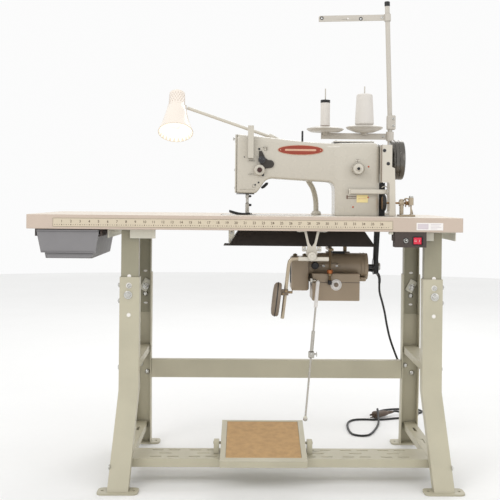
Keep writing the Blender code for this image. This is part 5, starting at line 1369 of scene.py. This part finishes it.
def make_lamp():
    """The coils over the plain gooseneck, and the shade's glowing inside (painted light), bulb, beads and
    vents.
    """
    bends = [
        (0.219, 0.068, 0.749), (0.2175, 0.068, 0.79), (0.209, 0.069, 0.825), (0.1915, 0.07, 0.855),
        (0.165, 0.07, 0.897), (0.14, 0.068, 0.938), (0.112, 0.065, 0.968), (0.075, 0.062, 0.9865),
    ]
    path = evenly_spaced(smooth_path(bends, 12), 260)
    radii = [0.008 + 0.0007 * math.cos(math.tau * step / 4) for step in range(260)]
    piece("gooseneck_coils", pipe(path, radii, 20), "lamp_arm", "gooseneck", smooth=80)
    collar = [path[-1] + (path[-1] - path[-20]).normalized() * away for away in (-0.012, -0.01, 0.006, 0.008)]
    collar_radii = [0.007, 0.0092, 0.0092, 0.007]
    piece("gooseneck_collar", pipe(collar, collar_radii, 24), "lamp_arm", "cream_paint", 0.0004)
    top, axis = SHADE_TOP, SHADE_AXIS
    # Painted light: a glowing shell just inside the shade stands for the bulb's light on the shade's inside.
    inner = [
        (0.0213, 0.0135), (0.0226, 0.052), (0.0264, 0.06), (0.0324, 0.085), (0.0404, 0.118), (0.0464, 0.134),
        (0.0503, 0.147), (0.0508, 0.1476), (0.047, 0.134), (0.041, 0.118), (0.033, 0.085), (0.027, 0.0595),
        (0.0231, 0.0515), (0.0217, 0.013),
    ]
    piece("shade_inside_glow", turned(inner, top, axis, 56, bored=True), "lamp_shade", "glow_white", smooth=50)
    bulb = [(0, 0.014), (0.012, 0.014), (0.013, 0.045), (0.018, 0.058), (0.0255, 0.078), (0.0285, 0.095)]
    bulb += [(0.0265, 0.112), (0.019, 0.125), (0.009, 0.131), (0, 0.132)]
    piece("bulb", turned(bulb, top, axis, 40), "lamp_shade", "glow_white", smooth=60)
    rims = [ring_shape(top + axis * along, axis, radius, thick, 56) for along, radius, thick in (
        (0.1466, 0.052, 0.0011), (0.056, 0.0272, 0.001), (0.006, 0.0232, 0.0008),
    )]
    piece("shade_beads", together(rims), "lamp_shade", "shade_white")
    slots = []
    at = frame_at(top, axis)
    for row in range(5):
        along = 0.013 + 0.0075 * row
        radius = 0.0236 + 0.0015 * (along - 0.006) / 0.046
        for step in range(18):
            turn = at @ Matrix.Rotation(math.tau * (step + 0.5 * (row % 2)) / 18, 4, "Z")
            slot = block(radius - 0.0006, radius + 0.0003, -0.0014, 0.0014, along, along + 0.0042)
            slots.append(moved(slot, turn))
    piece("shade_vents", together(slots), "lamp_shade", "vent_shadow")
    knuckle = [(0, -0.0105), (0.0078, -0.0105), (0.0086, -0.009), (0.0086, -0.0005), (0, -0.0004)]
    piece("lamp_knuckle", turned(knuckle, LAMP_PIVOT, X, 26), "lamp_shade", "cream_paint")
    bolt = together(hex_bolt((0.219 + 0.011, 0.068, 0.752), Z, 0.0028, 0.0036))
    piece("lamp_base_bolt", bolt, "lamp_arm", "zinc")


# Thread stand

def make_thread_stand():
    """The post's cap, screws and eyelets, and the fittings of the two spools."""
    low, high = on_upper_tube(1.43), on_upper_tube(1.4462)
    piece("post_cap", rod(low, high, 0.009, 28, 0.0016), "stand", "jet")
    front = POST_Y - 0.0105
    screws("joiner_screws", [(0.4795, front, 1.06), (0.4795, front, 1.037)], -Y, 0.0042, "stand")
    arm_front = POST_Y - 0.002
    screws("spool_arm_screw", [(0.448, arm_front, 1.0016)], -Y, 0.0042, "stand")
    screws("guide_arm_screw", [(0.44, arm_front, 1.3925)], -Y, 0.0042, "thread_guide")
    eyes = [ring_shape((x, arm_front - 0.0006, 1.388), Y, 0.0044, 0.0013, 24, 10) for x in (0.2415, 0.37)]
    piece("thread_eyelets", together(eyes), "thread_guide", "dark_iron")
    pin = rod((0.3276, arm_front - 0.0012, 1.388), (0.3276, arm_front + 0.001, 1.388), 0.003, 20, 0.0004)
    piece("thread_eye_rivet", pin, "thread_guide", "label_white")
    base = 1.033
    middle = (0.2563, POST_Y, 0)
    cap = [(0.0045, base + 0.0772), (0.0156, base + 0.0772), (0.0159, base + 0.0782), (0.0159, base + 0.0858)]
    cap += [(0.015, base + 0.0868), (0.0045, base + 0.0868)]
    piece("thread_tube_cap", turned(cap, middle, Z, 40, bored=True), "tube_of_thread", "jet")
    foot = [(0.0045, base), (0.0159, base), (0.0159, base + 0.0022), (0.0045, base + 0.0022)]
    piece("thread_tube_foot", turned(foot, middle, Z, 40, bored=True), "tube_of_thread", "brown_line")
    cone_base = 1.0395
    cone_top = [(0.0045, 1.1402), (0.016, 1.1402), (0.015, 1.1418), (0.0045, 1.1418)]
    core = turned(cone_top, (0.3854, POST_Y, 0), Z, 36, bored=True)
    piece("thread_cone_core", core, "cone_of_thread", "label_white")
    make_wound_threads(base, cone_base)
    out = 0.0155
    foot_screws = [(POST_X + out * math.cos(a), POST_Y + out * math.sin(a), 0.7497) for a in (0.4, 2.5, 4.6)]
    screws("post_foot_screws", foot_screws, Z, 0.003, "stand")


def make_wound_threads(tube_base, cone_base):
    """Finer spools over the plain ones, with the slight waist that winding leaves."""
    for name, x, base, line in (
        ("tube", 0.2563, tube_base, [
            (0.015, 0.0022), (0.0156, 0.006), (0.0154, 0.04), (0.0156, 0.073), (0.015, 0.0772),
        ]),
        ("cone", 0.3854, cone_base, [
            (0.028, 0.0), (0.0306, 0.003), (0.0311, 0.008), (0.0299, 0.03), (0.0281, 0.065),
            (0.0266, 0.092), (0.0258, 0.098), (0.0215, 0.101),
        ]),
    ):
        ring = smooth_path([(radius, 0, height) for radius, height in line], 8)
        profile = [(0.0045, base + line[0][1]), *[(p.x, base + p.z) for p in ring]]
        profile.append((0.0045, base + line[-1][1]))
        shape = turned(profile, (x, POST_Y, 0), Z, 56, bored=True)
        piece(f"wound_{name}", shape, f"{name}_of_thread", "thread", smooth=50, stands_for=[f"thread_{name}"])


# Bobbin winder

def make_winder_fittings():
    """The winder's trip lever, bearing boss, screws and tension nut."""
    arm = smooth_path([
        (0.47, -0.076, 0.793), (0.476, -0.079, 0.799), (0.485, -0.08, 0.796), (0.4905, -0.082, 0.786),
        (0.49, -0.086, 0.772), (0.493, -0.09, 0.761), (0.495, -0.09, 0.752),
    ], 6)
    piece("winder_trip_lever", pipe(arm, 0.002, 12), "stand", "tan_steel")
    boss = turned([(0, 0.456), (0.0085, 0.456), (0.0092, 0.4575), (0.0092, 0.47), (0, 0.4712)],
                  (0, WINDER_Y, WINDER_Z), X, 26)
    piece("winder_bearing_boss", boss, "stand", "tan_steel")
    screws("winder_plate_screws", [(0.462, -0.098, 0.751), (0.493, -0.064, 0.751)], Z, 0.0034, "stand")
    nut = [(0, 0.8005), (0.0062, 0.8005), (0.0066, 0.802), (0.0066, 0.805), (0.005, 0.8065), (0, 0.8065)]
    piece("winder_tension_nut", turned(nut, (0.4885, -0.0975, 0), Z, 20), "stand", "zinc")


make_camera()
make_studio()
make_power_lead()
make_belt()
make_table_fittings()
make_stand_fittings()
make_under_table_fittings()
make_motor_fittings()
make_linkage_fittings()
make_casting()
make_badge()
make_tension_parts()
make_face_fittings()
make_column_fittings()
make_belt_guard_fittings()
make_handwheel()
make_lamp()
make_thread_stand()
make_winder_fittings()
for look, edge, segments, nodes in DRESSED:
    for node in nodes.split():
        dress(node, look, edge, segments)
